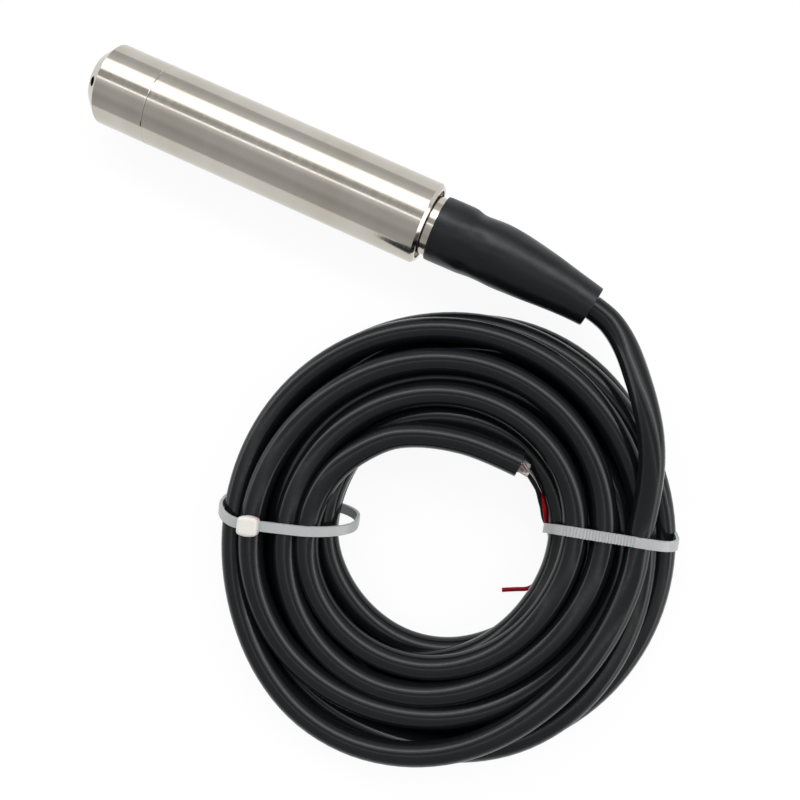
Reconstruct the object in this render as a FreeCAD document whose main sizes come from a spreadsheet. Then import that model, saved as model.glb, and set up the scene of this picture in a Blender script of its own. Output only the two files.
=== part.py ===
"""Submersible level sensor: a stainless probe with its vented cable coiled and tied beside it.

The probe lies along X with its nose at -X and its cable leaving at +X. Z is up, the floor is z = 0
and the origin is under the middle of the rigid probe. All lengths are millimetres.
"""
import FreeCAD, Part

import math
import os
import re

import Sketcher

DIMENSIONS = {
    # outside of the probe
    "body_diameter": 27.0,
    "nose_taper_depth": 3.8,
    "nose_taper_length": 3.8,
    "cap_length": 18.0,
    "tube_length": 97.0,
    "rear_rim_chamfer": 1.0,
    "seam_chamfer": 0.25,
    "neck_step": 3.75,
    "neck_length": 15.0,
    # inside of the nose cap
    "cap_front_wall": 3.0,
    "chamber_step": 1.7,
    "inlet_diameter": 3.2,
    "inlet_count": 4,
    "inlet_clock": -17.0,
    "centre_inlet_diameter": 3.2,
    # screwed joint between the cap and the tube
    "spigot_step": 2.5,
    "spigot_length": 9.0,
    "spigot_chamfer": 0.6,
    "thread_clearance": 0.15,
    "cap_end_gap": 0.6,
    "cap_seal_section": 1.2,
    "cap_seal_gap": 0.1,
    "seal_gap": 0.05,
    "fit_gap": 0.05,
    # bore of the tube
    "tube_wall": 2.0,
    "spigot_wall": 1.45,
    "shoulder_ledge": 2.05,
    "shoulder_length": 2.0,
    # pressure capsule
    "capsule_length": 11.5,
    "capsule_rim_depth": 0.8,
    "oil_cavity_depth": 0.7,
    "capsule_rim_width": 1.0,
    "diaphragm_land": 1.3,
    "diaphragm_thickness": 0.2,
    "bead_section": 0.7,
    "bead_count": 3,
    "bead_margin": 0.6,
    "seal_section": 1.8,
    "groove_margin": 0.6,
    "groove_land": 3.0,
    "retainer_thickness": 3.0,
    "retainer_width": 1.7,
    "retainer_slot_width": 2.0,
    "retainer_slot_depth": 1.2,
    "retainer_slot_count": 4,
    "pin_diameter": 0.6,
    "pin_length": 5.0,
    "pin_margin": 1.5,
    "vent_stub_diameter": 1.6,
    "vent_stub_bore": 0.8,
    "vent_stub_length": 3.6,
    "lead_diameter": 0.9,
    "lead_reach": 12.0,
    # electronics
    "carrier_length": 6.0,
    "carrier_slot_depth": 4.0,
    "carrier_ring_width": 6.0,
    "board_width": 18.0,
    "board_thickness": 1.6,
    "chip_length": 8.6,
    "chip_width": 6.2,
    "chip_height": 1.7,
    "chip_station": 30.0,
    "diode_length": 4.6,
    "diode_width": 2.8,
    "diode_height": 2.2,
    "diode_station": 50.0,
    "diode_spacing": 4.4,
    "capacitor_diameter": 4.0,
    "capacitor_height": 5.4,
    "capacitor_station": 42.0,
    "capacitor_spacing": 6.0,
    # rear plug and cable gland
    "plug_length": 14.0,
    "plug_recess": 1.2,
    "plug_rim_chamfer": 0.5,
    "gland_bore": 14.0,
    "grommet_length": 8.0,
    "washer_thickness": 0.8,
    "gland_screw_length": 5.0,
    "gland_slot_width": 1.6,
    "gland_slot_depth": 1.4,
    "gland_slot_count": 2,
    "cable_clearance": 0.3,
    # cable
    "cable_diameter": 8.0,
    "cable_inset": 3.0,
    "core_wire_diameter": 1.4,
    "core_wire_reach": 16.0,
    "vent_tube_diameter": 1.8,
    "vent_tube_bore": 0.9,
    "vent_tube_reach": 3.6,
    "braid_diameter": 6.0,
    "braid_bore": 4.8,
    "braid_length": 4.0,
    # strain relief boot
    "boot_standoff": 2.6,
    "boot_wall": 0.95,
    "boot_waist_wall": 1.1,
    "boot_length": 55.4,
    "boot_collar_length": 10.5,
    "boot_dent": 0.5,
    "boot_dent_length": 3.4,
    "boot_belly_diameter": 20.3,
    "boot_shoulder_diameter": 18.4,
    "boot_waist_diameter": 15.6,
    "boot_end_diameter": 13.6,
    "boot_bend": 9.0,
    # coil of cable and its ties
    "coil_behind_rear": 45.8,
    "coil_aside": 89.5,
    "coil_inner_radius": 35.2,
    "coil_outer_radius": 71.6,
    "coil_height": 22.0,
    "coil_round": 10.0,
    "tie_width": 3.5,
    "tie_thickness": 1.1,
    "tie_gap": 0.2,
    "tie_head_length": 7.2,
    "tie_head_width": 6.6,
    "tie_head_height": 4.6,
    "tie_low_head_reach": 3.8,
    "tie_low_head_height": 4.8,
    "tie_left_bearing": 195.8,
    "tie_left_turn": 2.3,
    "tie_left_lean": -16.2,
    "tie_left_slack": 7.4,
    "tie_right_bearing": 29.3,
    "tie_right_turn": -12.0,
    "tie_right_lean": 14.0,
    "tie_right_slack": 3.7,
}

# Stations along the probe, measured from the tip of the nose.
NOSE_RIM = "nose_taper_length"
SEAM = f"({NOSE_RIM} + cap_length)"
SPIGOT_FRONT = f"({SEAM} - spigot_length)"
CAPSULE_FRONT = f"({SPIGOT_FRONT} + retainer_thickness)"
SHOULDER = f"({CAPSULE_FRONT} + capsule_length)"
FRONT_CARRIER = f"({SHOULDER} + shoulder_length)"
REAR = f"({SEAM} + tube_length)"
NECK_END = f"({REAR} + neck_length)"
PLUG_FRONT = f"({REAR} - plug_length)"
REAR_CARRIER = f"({PLUG_FRONT} - carrier_length)"
GLAND_SCREW = f"({NECK_END} - gland_screw_length)"
GLAND_WASHER = f"({GLAND_SCREW} - washer_thickness)"
GROMMET = f"({GLAND_WASHER} - grommet_length)"
BOARD_FRONT = f"({FRONT_CARRIER} + carrier_length - carrier_slot_depth)"
BOARD_REAR = f"({REAR_CARRIER} + carrier_slot_depth)"
CABLE_FRONT = f"({PLUG_FRONT} + cable_inset)"
TIP_X = f"(-{NECK_END} / 2)"
REAR_X = f"({REAR} + {TIP_X})"

# Radii shared by pieces that fit together.
BODY_RADIUS = "(body_diameter / 2)"
NOSE_FACE_RADIUS = f"({BODY_RADIUS} - nose_taper_depth)"
SPIGOT_RADIUS = f"({BODY_RADIUS} - spigot_step)"
CHAMBER_RADIUS = f"({SPIGOT_RADIUS} - chamber_step)"
CAP_THREAD_RADIUS = f"({SPIGOT_RADIUS} + thread_clearance)"
CAP_SEAL_RADIUS = f"({SPIGOT_RADIUS} + 2 * cap_seal_gap + cap_seal_section)"
CAP_SEAL_FLOOR = f"({SEAM} - 2 * cap_seal_gap - cap_seal_section)"
CAPSULE_BORE_RADIUS = f"({SPIGOT_RADIUS} - spigot_wall)"
CAPSULE_RADIUS = f"({CAPSULE_BORE_RADIUS} - fit_gap)"
DIAPHRAGM_RADIUS = f"({CAPSULE_RADIUS} - capsule_rim_width)"
OIL_CAVITY_RADIUS = f"({DIAPHRAGM_RADIUS} - diaphragm_land)"
SHOULDER_RADIUS = f"({CAPSULE_BORE_RADIUS} - shoulder_ledge)"
CAPSULE_GROOVE_RADIUS = f"({CAPSULE_BORE_RADIUS} - 2 * seal_gap - seal_section)"
TUBE_BORE_RADIUS = f"({BODY_RADIUS} - tube_wall)"
CARRIER_WINDOW_RADIUS = f"({TUBE_BORE_RADIUS} - carrier_ring_width)"
PLUG_RADIUS = f"({TUBE_BORE_RADIUS} - fit_gap)"
PLUG_GROOVE_RADIUS = f"({TUBE_BORE_RADIUS} - 2 * seal_gap - seal_section)"
GLAND_RADIUS = "(gland_bore / 2)"
GLAND_PIECE_RADIUS = f"({GLAND_RADIUS} - fit_gap)"
CABLE_RADIUS = "(cable_diameter / 2)"
CABLE_HOLE_RADIUS = f"({CABLE_RADIUS} + cable_clearance)"
NECK_RADIUS = f"({BODY_RADIUS} - neck_step)"

# Cord routes, chosen by eye: each point is (x from the rear face, y, z).
LEAD_ROUTE = (
    (62.8, -4.2, 13.5),
    (67.8, -6.2, 14.1),
    (73.3, -10.0, 15.9),
    (79.0, -16.0, 19.4),
    (85.1, -23.5, 23.0),
    (90.7, -31.6, 24.4),
    (95.2, -40.5, 23.6),
    (98.4, -50.2, 21.4),
    (100.6, -60.7, 19.2),
)
TAIL_ROUTE = (
    (16.1, -67.5, 19.6),
    (24.1, -62.5, 20.0),
    (34.1, -59.1, 20.2),
    (45.6, -57.4, 20.3),
    (58.0, -58.5, 20.9),
)
RED_WIRE_ROUTE = (
    (58.15, -58.7, 19.35),
    (63.4, -59.2, 19.7),
    (65.2, -61.2, 15.2),
    (68.6, -63.8, 13.9),
    (71.2, -66.6, 13.2),
    (73.2, -69.2, 12.2),
    (75.3, -72.6, 9.6),
    (77.2, -75.7, 6.9),
    (79.6, -80.4, 4.6),
    (80.6, -87.1, 2.2),
    (79.0, -93.4, 1.0),
    (74.3, -95.7, 0.8),
    (70.6, -97.8, 0.8),
)
BLACK_WIRE_ROUTE = (
    (58.0, -59.6, 20.6),
    (62.6, -60.3, 20.6),
    (65.1, -61.9, 17.8),
    (67.7, -64.3, 16.0),
    (71.5, -68.4, 14.6),
    (74.3, -71.7, 12.8),
    (76.5, -75.5, 9.4),
    (77.5, -79.8, 5.8),
    (78.3, -83.8, 2.6),
    (78.5, -86.6, 1.2),
)
VENT_TUBE_OFFSET = 1.3
CORE_WIRE_SPREAD = 1.7

# Each arc of a cord takes this share of the shorter run beside it.
ARC_SHARE = 0.45
# A wire to the board runs straight, slants between these shares of its reach, and lies flat.
SLANT_START = 0.3
SLANT_END = 0.65
VOLUME_TOLERANCE = 0.01

doc = FreeCAD.newDocument("SubmersibleLevelSensor")
sizes = doc.addObject("Spreadsheet::Sheet", "Sizes")
for row, (alias, number) in enumerate(DIMENSIONS.items(), start=1):
    sizes.set(f"A{row}", alias.replace("_", " "))
    sizes.set(f"B{row}", str(number))
    sizes.setAlias(f"B{row}", alias)
doc.recompute()

pieces = []


def bound(expression):
    """The expression with each named size read from the sheet."""
    return re.sub(r"[a-z]+_[a-z_]+", lambda word: "Sizes." + word.group(), expression)


def value(expression):
    """The number that an expression of named sizes gives now."""
    result = sizes.evalExpression(bound(expression))
    return float(getattr(result, "Value", result))


def bind(thing, **expressions):
    """Ties properties of an object to sizes of the sheet."""
    for name, expression in expressions.items():
        thing.setExpression(name.replace("__", "."), bound(expression))


def piece(thing):
    """Lists a finished sub-part."""
    pieces.append(thing)
    return thing


def lay_on_axis(thing, station="0", aside="0", above="0"):
    """Puts an object at a station of the probe's axis, which lies half a diameter above the floor."""
    bind(
        thing,
        Placement__Base__x=f"{TIP_X} + {station}",
        Placement__Base__y=aside,
        Placement__Base__z=f"{BODY_RADIUS} + {above}",
    )


def new_body(label):
    body = doc.addObject("PartDesign::Body", label)
    body.Label = label
    return body


def origin_feature(body, role):
    return next(item for item in body.Origin.OriginFeatures if item.Role == role)


def new_sketch(body, name, plane):
    sketch = body.newObject("Sketcher::SketchObject", name)
    sketch.AttachmentSupport = (origin_feature(body, plane), [""])
    sketch.MapMode = "FlatFace"
    return sketch


def pin_point(sketch, line, kind, expression, axis):
    """Fixes one coordinate of a line's first point to an expression of the sheet."""
    number = value(expression)
    if abs(number) < 1e-9:
        sketch.addConstraint(Sketcher.Constraint("PointOnObject", line, 1, axis))
        return
    index = sketch.addConstraint(Sketcher.Constraint(kind, -1, 1, line, 1, number))
    sketch.setExpression(f"Constraints[{index}]", bound(expression))


def trace(sketch, corners):
    """Draws a closed outline of straight lines through corners given as pairs of expressions."""
    places = [FreeCAD.Vector(value(along), value(out), 0) for along, out in corners]
    count = len(corners)
    first = sketch.GeometryCount
    for index in range(count):
        sketch.addGeometry(Part.LineSegment(places[index], places[(index + 1) % count]), False)
    for index in range(count):
        following = first + (index + 1) % count
        sketch.addConstraint(Sketcher.Constraint("Coincident", first + index, 2, following, 1))
    for index, (along, out) in enumerate(corners):
        pin_point(sketch, first + index, "DistanceX", along, -2)
        pin_point(sketch, first + index, "DistanceY", out, -1)


def turned(label, corners):
    """A body turned about the probe's axis from (station, radius) corners."""
    body = new_body(label)
    sketch = new_sketch(body, label + "_profile", "XZ_Plane")
    trace(sketch, corners)
    turning = body.newObject("PartDesign::Revolution", label + "_turning")
    turning.Profile = sketch
    turning.ReferenceAxis = (sketch, ["H_Axis"])
    turning.Angle = 360
    lay_on_axis(body)
    return piece(body)


def ring_seal(label, station, radius, section):
    """A round rubber ring about the probe's axis."""
    ring = doc.addObject("Part::Torus", label)
    ring.Label = label
    ring.Placement = FreeCAD.Placement(FreeCAD.Vector(), FreeCAD.Rotation(FreeCAD.Vector(0, 1, 0), 90))
    bind(ring, Radius1=radius, Radius2=f"{section} / 2")
    lay_on_axis(ring, station)
    return piece(ring)


def wrench_slots(body, label, face, floor, inner, outer, width, count):
    """Cuts evenly spaced slots for a pin wrench across an end face of a turned ring."""
    doc.recompute()
    before = body.Shape.Volume
    sketch = new_sketch(body, label + "_slot", "XY_Plane")
    trace(sketch, ((face, inner), (face, outer), (floor, outer), (floor, inner)))
    slot = body.newObject("PartDesign::Pocket", label + "_slot_cut")
    slot.Profile = sketch
    slot.Type = "Length"
    slot.SideType = "Symmetric"
    bind(slot, Length=width)
    doc.recompute()
    pattern = body.newObject("PartDesign::PolarPattern", label + "_slots")
    pattern.Originals = [slot]
    pattern.Axis = (origin_feature(body, "X_Axis"), [""])
    pattern.Angle = 360
    bind(pattern, Occurrences=count)
    body.Tip = pattern
    doc.recompute()
    if not body.Shape.Volume < before:
        raise RuntimeError(f"{label}: the slots cut nothing")


def nose_cap():
    """The screw-on cap whose tapered nose lets the water in to the diaphragm."""
    wall = "cap_front_wall"
    mouth_floor = f"({SPIGOT_FRONT} - cap_end_gap)"
    body = turned("nose_cap", (
        ("0", "centre_inlet_diameter / 2"),
        ("0", NOSE_FACE_RADIUS),
        (NOSE_RIM, BODY_RADIUS),
        (f"{SEAM} - seam_chamfer", BODY_RADIUS),
        (SEAM, f"{BODY_RADIUS} - seam_chamfer"),
        (SEAM, CAP_SEAL_RADIUS),
        (CAP_SEAL_FLOOR, CAP_SEAL_RADIUS),
        (CAP_SEAL_FLOOR, CAP_THREAD_RADIUS),
        (mouth_floor, CAP_THREAD_RADIUS),
        (mouth_floor, CHAMBER_RADIUS),
        (wall, CHAMBER_RADIUS),
        (wall, "centre_inlet_diameter / 2"),
    ))
    doc.recompute()
    before = body.Shape.Volume
    # Each inlet is drilled square to the middle of the tapered face.
    face_radius = value(NOSE_FACE_RADIUS)
    rise = value("nose_taper_depth")
    run = value("nose_taper_length")
    slope = math.atan2(run, rise)
    depth = 2 * value("cap_front_wall") + value("inlet_diameter")
    inlet = body.newObject("PartDesign::SubtractiveCylinder", "nose_inlet")
    bind(inlet, Radius="inlet_diameter / 2")
    inlet.Height = 2 * depth
    outward = FreeCAD.Vector(-math.sin(math.pi / 2 - slope), 0, math.cos(math.pi / 2 - slope))
    middle = FreeCAD.Vector(run / 2, 0, face_radius + rise / 2)
    upright = FreeCAD.Placement(middle - outward * depth, FreeCAD.Rotation(FreeCAD.Vector(0, 0, 1), outward))
    clock = FreeCAD.Rotation(FreeCAD.Vector(1, 0, 0), -value("inlet_clock"))
    inlet.Placement = FreeCAD.Placement(FreeCAD.Vector(), clock) * upright
    doc.recompute()
    pattern = body.newObject("PartDesign::PolarPattern", "nose_inlets")
    pattern.Originals = [inlet]
    pattern.Axis = (origin_feature(body, "X_Axis"), [""])
    pattern.Angle = 360
    bind(pattern, Occurrences="inlet_count")
    body.Tip = pattern
    doc.recompute()
    if not body.Shape.Volume < before:
        raise RuntimeError("nose_cap: the inlets cut nothing")


def cap_seal():
    """The ring that the cap presses against the tube at the root of the spigot."""
    inset = "cap_seal_gap + cap_seal_section / 2"
    station = f"({CAP_SEAL_FLOOR} + {inset})"
    ring_seal("cap_seal_ring", station, f"{SPIGOT_RADIUS} + {inset}", "cap_seal_section")


def housing_tube():
    """The long stainless tube with the screwed spigot and the capsule's seat at its front."""
    turned("housing_tube", (
        (SPIGOT_FRONT, CAPSULE_BORE_RADIUS),
        (SPIGOT_FRONT, f"{SPIGOT_RADIUS} - spigot_chamfer"),
        (f"{SPIGOT_FRONT} + spigot_chamfer", SPIGOT_RADIUS),
        (SEAM, SPIGOT_RADIUS),
        (SEAM, f"{BODY_RADIUS} - seam_chamfer"),
        (f"{SEAM} + seam_chamfer", BODY_RADIUS),
        (f"{REAR} - rear_rim_chamfer", BODY_RADIUS),
        (REAR, f"{BODY_RADIUS} - rear_rim_chamfer"),
        (REAR, TUBE_BORE_RADIUS),
        (FRONT_CARRIER, TUBE_BORE_RADIUS),
        (FRONT_CARRIER, SHOULDER_RADIUS),
        (SHOULDER, SHOULDER_RADIUS),
        (SHOULDER, CAPSULE_BORE_RADIUS),
    ))


def capsule():
    """The oil-filled pressure capsule with its diaphragm, seal, lock ring, pins and vent."""
    groove = f"({CAPSULE_FRONT} + groove_land)"
    groove_end = f"({groove} + seal_section + groove_margin)"
    seat = f"({CAPSULE_FRONT} + capsule_rim_depth)"
    seat_radius = f"({DIAPHRAGM_RADIUS} + fit_gap)"
    turned("capsule_body", (
        (f"{seat} + oil_cavity_depth", "0"),
        (f"{seat} + oil_cavity_depth", OIL_CAVITY_RADIUS),
        (seat, OIL_CAVITY_RADIUS),
        (seat, seat_radius),
        (CAPSULE_FRONT, seat_radius),
        (CAPSULE_FRONT, CAPSULE_RADIUS),
        (groove, CAPSULE_RADIUS),
        (groove, CAPSULE_GROOVE_RADIUS),
        (groove_end, CAPSULE_GROOVE_RADIUS),
        (groove_end, CAPSULE_RADIUS),
        (SHOULDER, CAPSULE_RADIUS),
        (SHOULDER, "0"),
    ))
    ring_seal(
        "capsule_seal_ring",
        f"({groove} + (seal_section + groove_margin) / 2)",
        f"{CAPSULE_BORE_RADIUS} - seal_gap - seal_section / 2",
        "seal_section",
    )
    diaphragm(seat)
    lock_ring()
    capsule_pins()
    turned("capsule_vent_stub", (
        (SHOULDER, "vent_stub_bore / 2"),
        (SHOULDER, "vent_stub_diameter / 2"),
        (f"{SHOULDER} + vent_stub_length", "vent_stub_diameter / 2"),
        (f"{SHOULDER} + vent_stub_length", "vent_stub_bore / 2"),
    ))


def diaphragm(seat):
    """A thin disc stiffened by concentric rolled beads."""
    across = FreeCAD.Rotation(FreeCAD.Vector(0, 1, 0), 90)
    disc = doc.addObject("Part::Cylinder", "diaphragm_disc")
    disc.Placement = FreeCAD.Placement(FreeCAD.Vector(), across)
    bind(disc, Radius=DIAPHRAGM_RADIUS, Height="diaphragm_thickness")
    lay_on_axis(disc, f"{seat} - diaphragm_thickness")
    spacing = f"{OIL_CAVITY_RADIUS} / (bead_count + bead_margin)"
    beads = []
    for number in range(1, int(value("bead_count")) + 1):
        bead = doc.addObject("Part::Torus", f"diaphragm_bead_{number}")
        bead.Placement = FreeCAD.Placement(FreeCAD.Vector(), across)
        bind(bead, Radius1=f"{number} * {spacing}", Radius2="bead_section / 2")
        lay_on_axis(bead, f"{seat} - diaphragm_thickness / 2")
        beads.append(bead)
    fused = doc.addObject("Part::MultiFuse", "capsule_diaphragm")
    fused.Label = "capsule_diaphragm"
    fused.Shapes = [disc] + beads
    piece(fused)


def lock_ring():
    """The slotted ring that is screwed in on top of the capsule."""
    outer = CAPSULE_RADIUS
    inner = f"({CAPSULE_RADIUS} - retainer_width)"
    body = turned("capsule_lock_ring", (
        (SPIGOT_FRONT, inner),
        (SPIGOT_FRONT, outer),
        (CAPSULE_FRONT, outer),
        (CAPSULE_FRONT, inner),
    ))
    wrench_slots(
        body, "lock_ring", SPIGOT_FRONT, f"({SPIGOT_FRONT} + retainer_slot_depth)",
        f"({inner} - fit_gap)", f"({outer} + fit_gap)", "retainer_slot_width", "retainer_slot_count",
    )


def group(label, solids):
    """Several like solids in one node."""
    cluster = doc.addObject("Part::Compound", label)
    cluster.Label = label
    cluster.Links = solids
    return piece(cluster)


def pin_places():
    """The (y, z) of the four pins, on the diagonals and clear of the carrier's window."""
    reach = f"(({CARRIER_WINDOW_RADIUS} - pin_margin) * sqrt(0.5))"
    return [(f"{side} * {reach}", f"{level} * {reach}") for side in (-1, 1) for level in (-1, 1)]


def capsule_pins():
    pins = []
    for number, (aside, above) in enumerate(pin_places()):
        pin = doc.addObject("Part::Cylinder", f"capsule_pin_{number}")
        pin.Placement = FreeCAD.Placement(FreeCAD.Vector(), FreeCAD.Rotation(FreeCAD.Vector(0, 1, 0), 90))
        bind(pin, Radius="pin_diameter / 2", Height="pin_length")
        lay_on_axis(pin, SHOULDER, aside, above)
        pins.append(pin)
    group("capsule_pins", pins)


def board_carrier(label, front, slot_station):
    """A moulded ring that holds one end of the board in a slot and lets the wires through."""
    rear = f"({front} + carrier_length)"
    radius = f"({TUBE_BORE_RADIUS} - fit_gap)"
    body = turned(label, (
        (front, CARRIER_WINDOW_RADIUS),
        (front, radius),
        (rear, radius),
        (rear, CARRIER_WINDOW_RADIUS),
    ))
    doc.recompute()
    before = body.Shape.Volume
    sketch = new_sketch(body, label + "_slot", "XZ_Plane")
    half = "(board_thickness / 2 + fit_gap)"
    far = f"({slot_station} + carrier_slot_depth)"
    trace(sketch, ((slot_station, f"-{half}"), (far, f"-{half}"), (far, half), (slot_station, half)))
    slot = body.newObject("PartDesign::Pocket", label + "_slot_cut")
    slot.Profile = sketch
    slot.Type = "Length"
    slot.SideType = "Symmetric"
    bind(slot, Length="board_width + 2 * fit_gap")
    doc.recompute()
    if not body.Shape.Volume < before:
        raise RuntimeError(f"{label}: the slot cut nothing")


def box_on_board(label, station, aside, length, width, height):
    """A block whose foot stands on the board's upper face, centred on a station and a side."""
    block = doc.addObject("Part::Box", label)
    block.Label = label
    bind(block, Length=length, Width=width, Height=height)
    lay_on_axis(block, f"{station} - {length} / 2", f"{aside} - {width} / 2", "board_thickness / 2")
    return block


def electronics():
    """The board between its carriers, with the parts soldered to it."""
    board_carrier("front_board_carrier", FRONT_CARRIER, BOARD_FRONT)
    board_carrier("rear_board_carrier", REAR_CARRIER, REAR_CARRIER)
    board = doc.addObject("Part::Box", "circuit_board")
    board.Label = "circuit_board"
    bind(board, Length=f"{BOARD_REAR} - {BOARD_FRONT}", Width="board_width", Height="board_thickness")
    lay_on_axis(board, BOARD_FRONT, "-board_width / 2", "-board_thickness / 2")
    piece(board)
    chip_station = f"({BOARD_FRONT} + chip_station)"
    piece(box_on_board("transmitter_chip", chip_station, "0", "chip_length", "chip_width", "chip_height"))
    diode_station = f"({BOARD_FRONT} + diode_station)"
    group("surge_diodes", [
        box_on_board(f"surge_diode_{number}", diode_station, f"{side} * diode_spacing / 2",
                     "diode_length", "diode_width", "diode_height")
        for number, side in enumerate((-1, 1))
    ])
    cans = []
    for number, side in enumerate((-1, 1)):
        can = doc.addObject("Part::Cylinder", f"filter_capacitor_{number}")
        bind(can, Radius="capacitor_diameter / 2", Height="capacitor_height")
        station = f"({BOARD_FRONT} + capacitor_station)"
        lay_on_axis(can, station, f"{side} * capacitor_spacing / 2", "board_thickness / 2")
        cans.append(can)
    group("filter_capacitors", cans)


def rear_plug():
    """The plug that closes the tube and carries the cable gland in its neck."""
    groove = f"({PLUG_FRONT} + groove_land)"
    groove_end = f"({groove} + seal_section + groove_margin)"
    flush = f"({REAR} - plug_recess)"
    turned("rear_plug", (
        (PLUG_FRONT, CABLE_HOLE_RADIUS),
        (PLUG_FRONT, PLUG_RADIUS),
        (groove, PLUG_RADIUS),
        (groove, PLUG_GROOVE_RADIUS),
        (groove_end, PLUG_GROOVE_RADIUS),
        (groove_end, PLUG_RADIUS),
        (f"{flush} - plug_rim_chamfer", PLUG_RADIUS),
        (flush, f"{PLUG_RADIUS} - plug_rim_chamfer"),
        (flush, NECK_RADIUS),
        (NECK_END, NECK_RADIUS),
        (NECK_END, GLAND_RADIUS),
        (GROMMET, GLAND_RADIUS),
        (GROMMET, CABLE_HOLE_RADIUS),
    ))
    ring_seal(
        "plug_seal_ring",
        f"({groove} + (seal_section + groove_margin) / 2)",
        f"{TUBE_BORE_RADIUS} - seal_gap - seal_section / 2",
        "seal_section",
    )


def cable_gland():
    """Rubber grommet, washer and hollow screw that squeeze the cable in the neck."""
    turned("gland_grommet", (
        (GROMMET, f"{CABLE_RADIUS} + fit_gap"),
        (GROMMET, GLAND_PIECE_RADIUS),
        (GLAND_WASHER, GLAND_PIECE_RADIUS),
        (GLAND_WASHER, f"{CABLE_RADIUS} + fit_gap"),
    ))
    turned("gland_washer", (
        (GLAND_WASHER, CABLE_HOLE_RADIUS),
        (GLAND_WASHER, GLAND_PIECE_RADIUS),
        (GLAND_SCREW, GLAND_PIECE_RADIUS),
        (GLAND_SCREW, CABLE_HOLE_RADIUS),
    ))
    body = turned("gland_screw", (
        (GLAND_SCREW, CABLE_HOLE_RADIUS),
        (GLAND_SCREW, GLAND_PIECE_RADIUS),
        (NECK_END, GLAND_PIECE_RADIUS),
        (NECK_END, CABLE_HOLE_RADIUS),
    ))
    wrench_slots(
        body, "gland_screw", NECK_END, f"({NECK_END} - gland_slot_depth)",
        f"({CABLE_HOLE_RADIUS} - fit_gap)", f"({GLAND_PIECE_RADIUS} + fit_gap)",
        "gland_slot_width", "gland_slot_count",
    )


def boot_line(distance):
    """Place on the boot's axis, which is straight over the neck and then bends aside in one arc."""
    straight = value("neck_length - boot_standoff")
    start = FreeCAD.Vector(value(f"{REAR_X} + boot_standoff"), 0, value(BODY_RADIUS))
    if distance <= straight:
        return FreeCAD.Placement(start + FreeCAD.Vector(distance, 0, 0), FreeCAD.Rotation())
    bend = math.radians(value("boot_bend"))
    radius = (value("boot_length") - straight) / bend
    angle = (distance - straight) / radius
    place = start + FreeCAD.Vector(straight + radius * math.sin(angle), -radius * (1 - math.cos(angle)), 0)
    return FreeCAD.Placement(place, FreeCAD.Rotation(FreeCAD.Vector(0, 0, 1), -math.degrees(angle)))


def ring_section(body, name, distance, radius):
    """A circle square to the boot's axis, with its radius bound to the sheet."""
    sketch = new_sketch(body, name, "YZ_Plane")
    sketch.addGeometry(Part.Circle(FreeCAD.Vector(), FreeCAD.Vector(0, 0, 1), value(radius)), False)
    sketch.addConstraint(Sketcher.Constraint("Coincident", 0, 3, -1, 1))
    index = sketch.addConstraint(Sketcher.Constraint("Radius", 0, value(radius)))
    sketch.setExpression(f"Constraints[{index}]", bound(radius))
    plane = FreeCAD.Placement(FreeCAD.Vector(), FreeCAD.Rotation(FreeCAD.Vector(1, 1, 1), 120))
    sketch.AttachmentOffset = plane.inverse() * boot_line(distance) * plane
    return sketch


def strain_boot():
    """The black sleeve shrunk over the neck and down on to the cable."""
    body = new_body("strain_relief_boot")
    over_neck = value("neck_length - boot_standoff")
    length = value("boot_length")
    collar = value("boot_collar_length")
    dent = collar + value("boot_dent_length")
    quarter = (length - dent) / 4
    collar_radius = f"({NECK_RADIUS} + boot_wall)"
    dent_radius = f"({collar_radius} - boot_dent)"
    # The collar lies straight over the neck, and the sleeve sinks a little behind the neck's end.
    loft(body, "boot_collar", True, ((0, collar_radius), (collar, collar_radius)))
    loft(body, "boot_hollow", True, ((collar, collar_radius), (dent, dent_radius)))
    loft(body, "boot_taper", True, (
        (dent, dent_radius),
        (dent + quarter, "boot_belly_diameter / 2"),
        (dent + 2 * quarter, "boot_shoulder_diameter / 2"),
        (dent + 3 * quarter, "boot_waist_diameter / 2"),
        (length, "boot_end_diameter / 2"),
    ))
    # The inside is bored to the neck, then narrows on to the jacket of the cable.
    socket_radius = f"{NECK_RADIUS} + fit_gap"
    loft(body, "boot_socket", False, ((0, socket_radius), (over_neck, socket_radius)))
    loft(body, "boot_throat", False, (
        (over_neck, f"{dent_radius} - boot_waist_wall"),
        (length, f"{CABLE_RADIUS} + fit_gap"),
    ))
    piece(body)


def loft(body, name, adding, rings):
    """Adds or cuts a round form through rings along the boot's axis, given as (distance, radius)."""
    before = body.Shape.Volume if body.Tip else 0
    sections = [ring_section(body, f"{name}_{number}", at, size) for number, (at, size) in enumerate(rings)]
    form = body.newObject("PartDesign::AdditiveLoft" if adding else "PartDesign::SubtractiveLoft", name)
    form.Profile = sections[0]
    form.Sections = sections[1:]
    form.Ruled = False
    doc.recompute()
    if (body.Shape.Volume > before) != adding:
        raise RuntimeError(f"{name}: the loft changed nothing")


def tube_along(points, radius, bore=0.0):
    """A round tube along straight runs joined by tangent arcs, with its length and the arcs' radii."""
    edges = []
    start = points[0]
    radii = []
    for before, corner, after in zip(points, points[1:], points[2:]):
        come = corner - before
        leave = after - corner
        turn = come.getAngle(leave)
        setback = ARC_SHARE * min(come.Length, leave.Length)
        radii.append(setback / math.tan(turn / 2))
        enter = corner - come.normalize() * setback
        exit_point = corner + leave.normalize() * setback
        inward = ((enter + exit_point) / 2 - corner).normalize()
        middle = corner + inward * radii[-1] * (1 / math.cos(turn / 2) - 1)
        edges.append(Part.LineSegment(start, enter).toShape())
        edges.append(Part.Arc(enter, middle, exit_point).toShape())
        start = exit_point
    edges.append(Part.LineSegment(start, points[-1]).toShape())
    return sweep(Part.Wire(edges), points[0], points[1] - points[0], radius), radii


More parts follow.
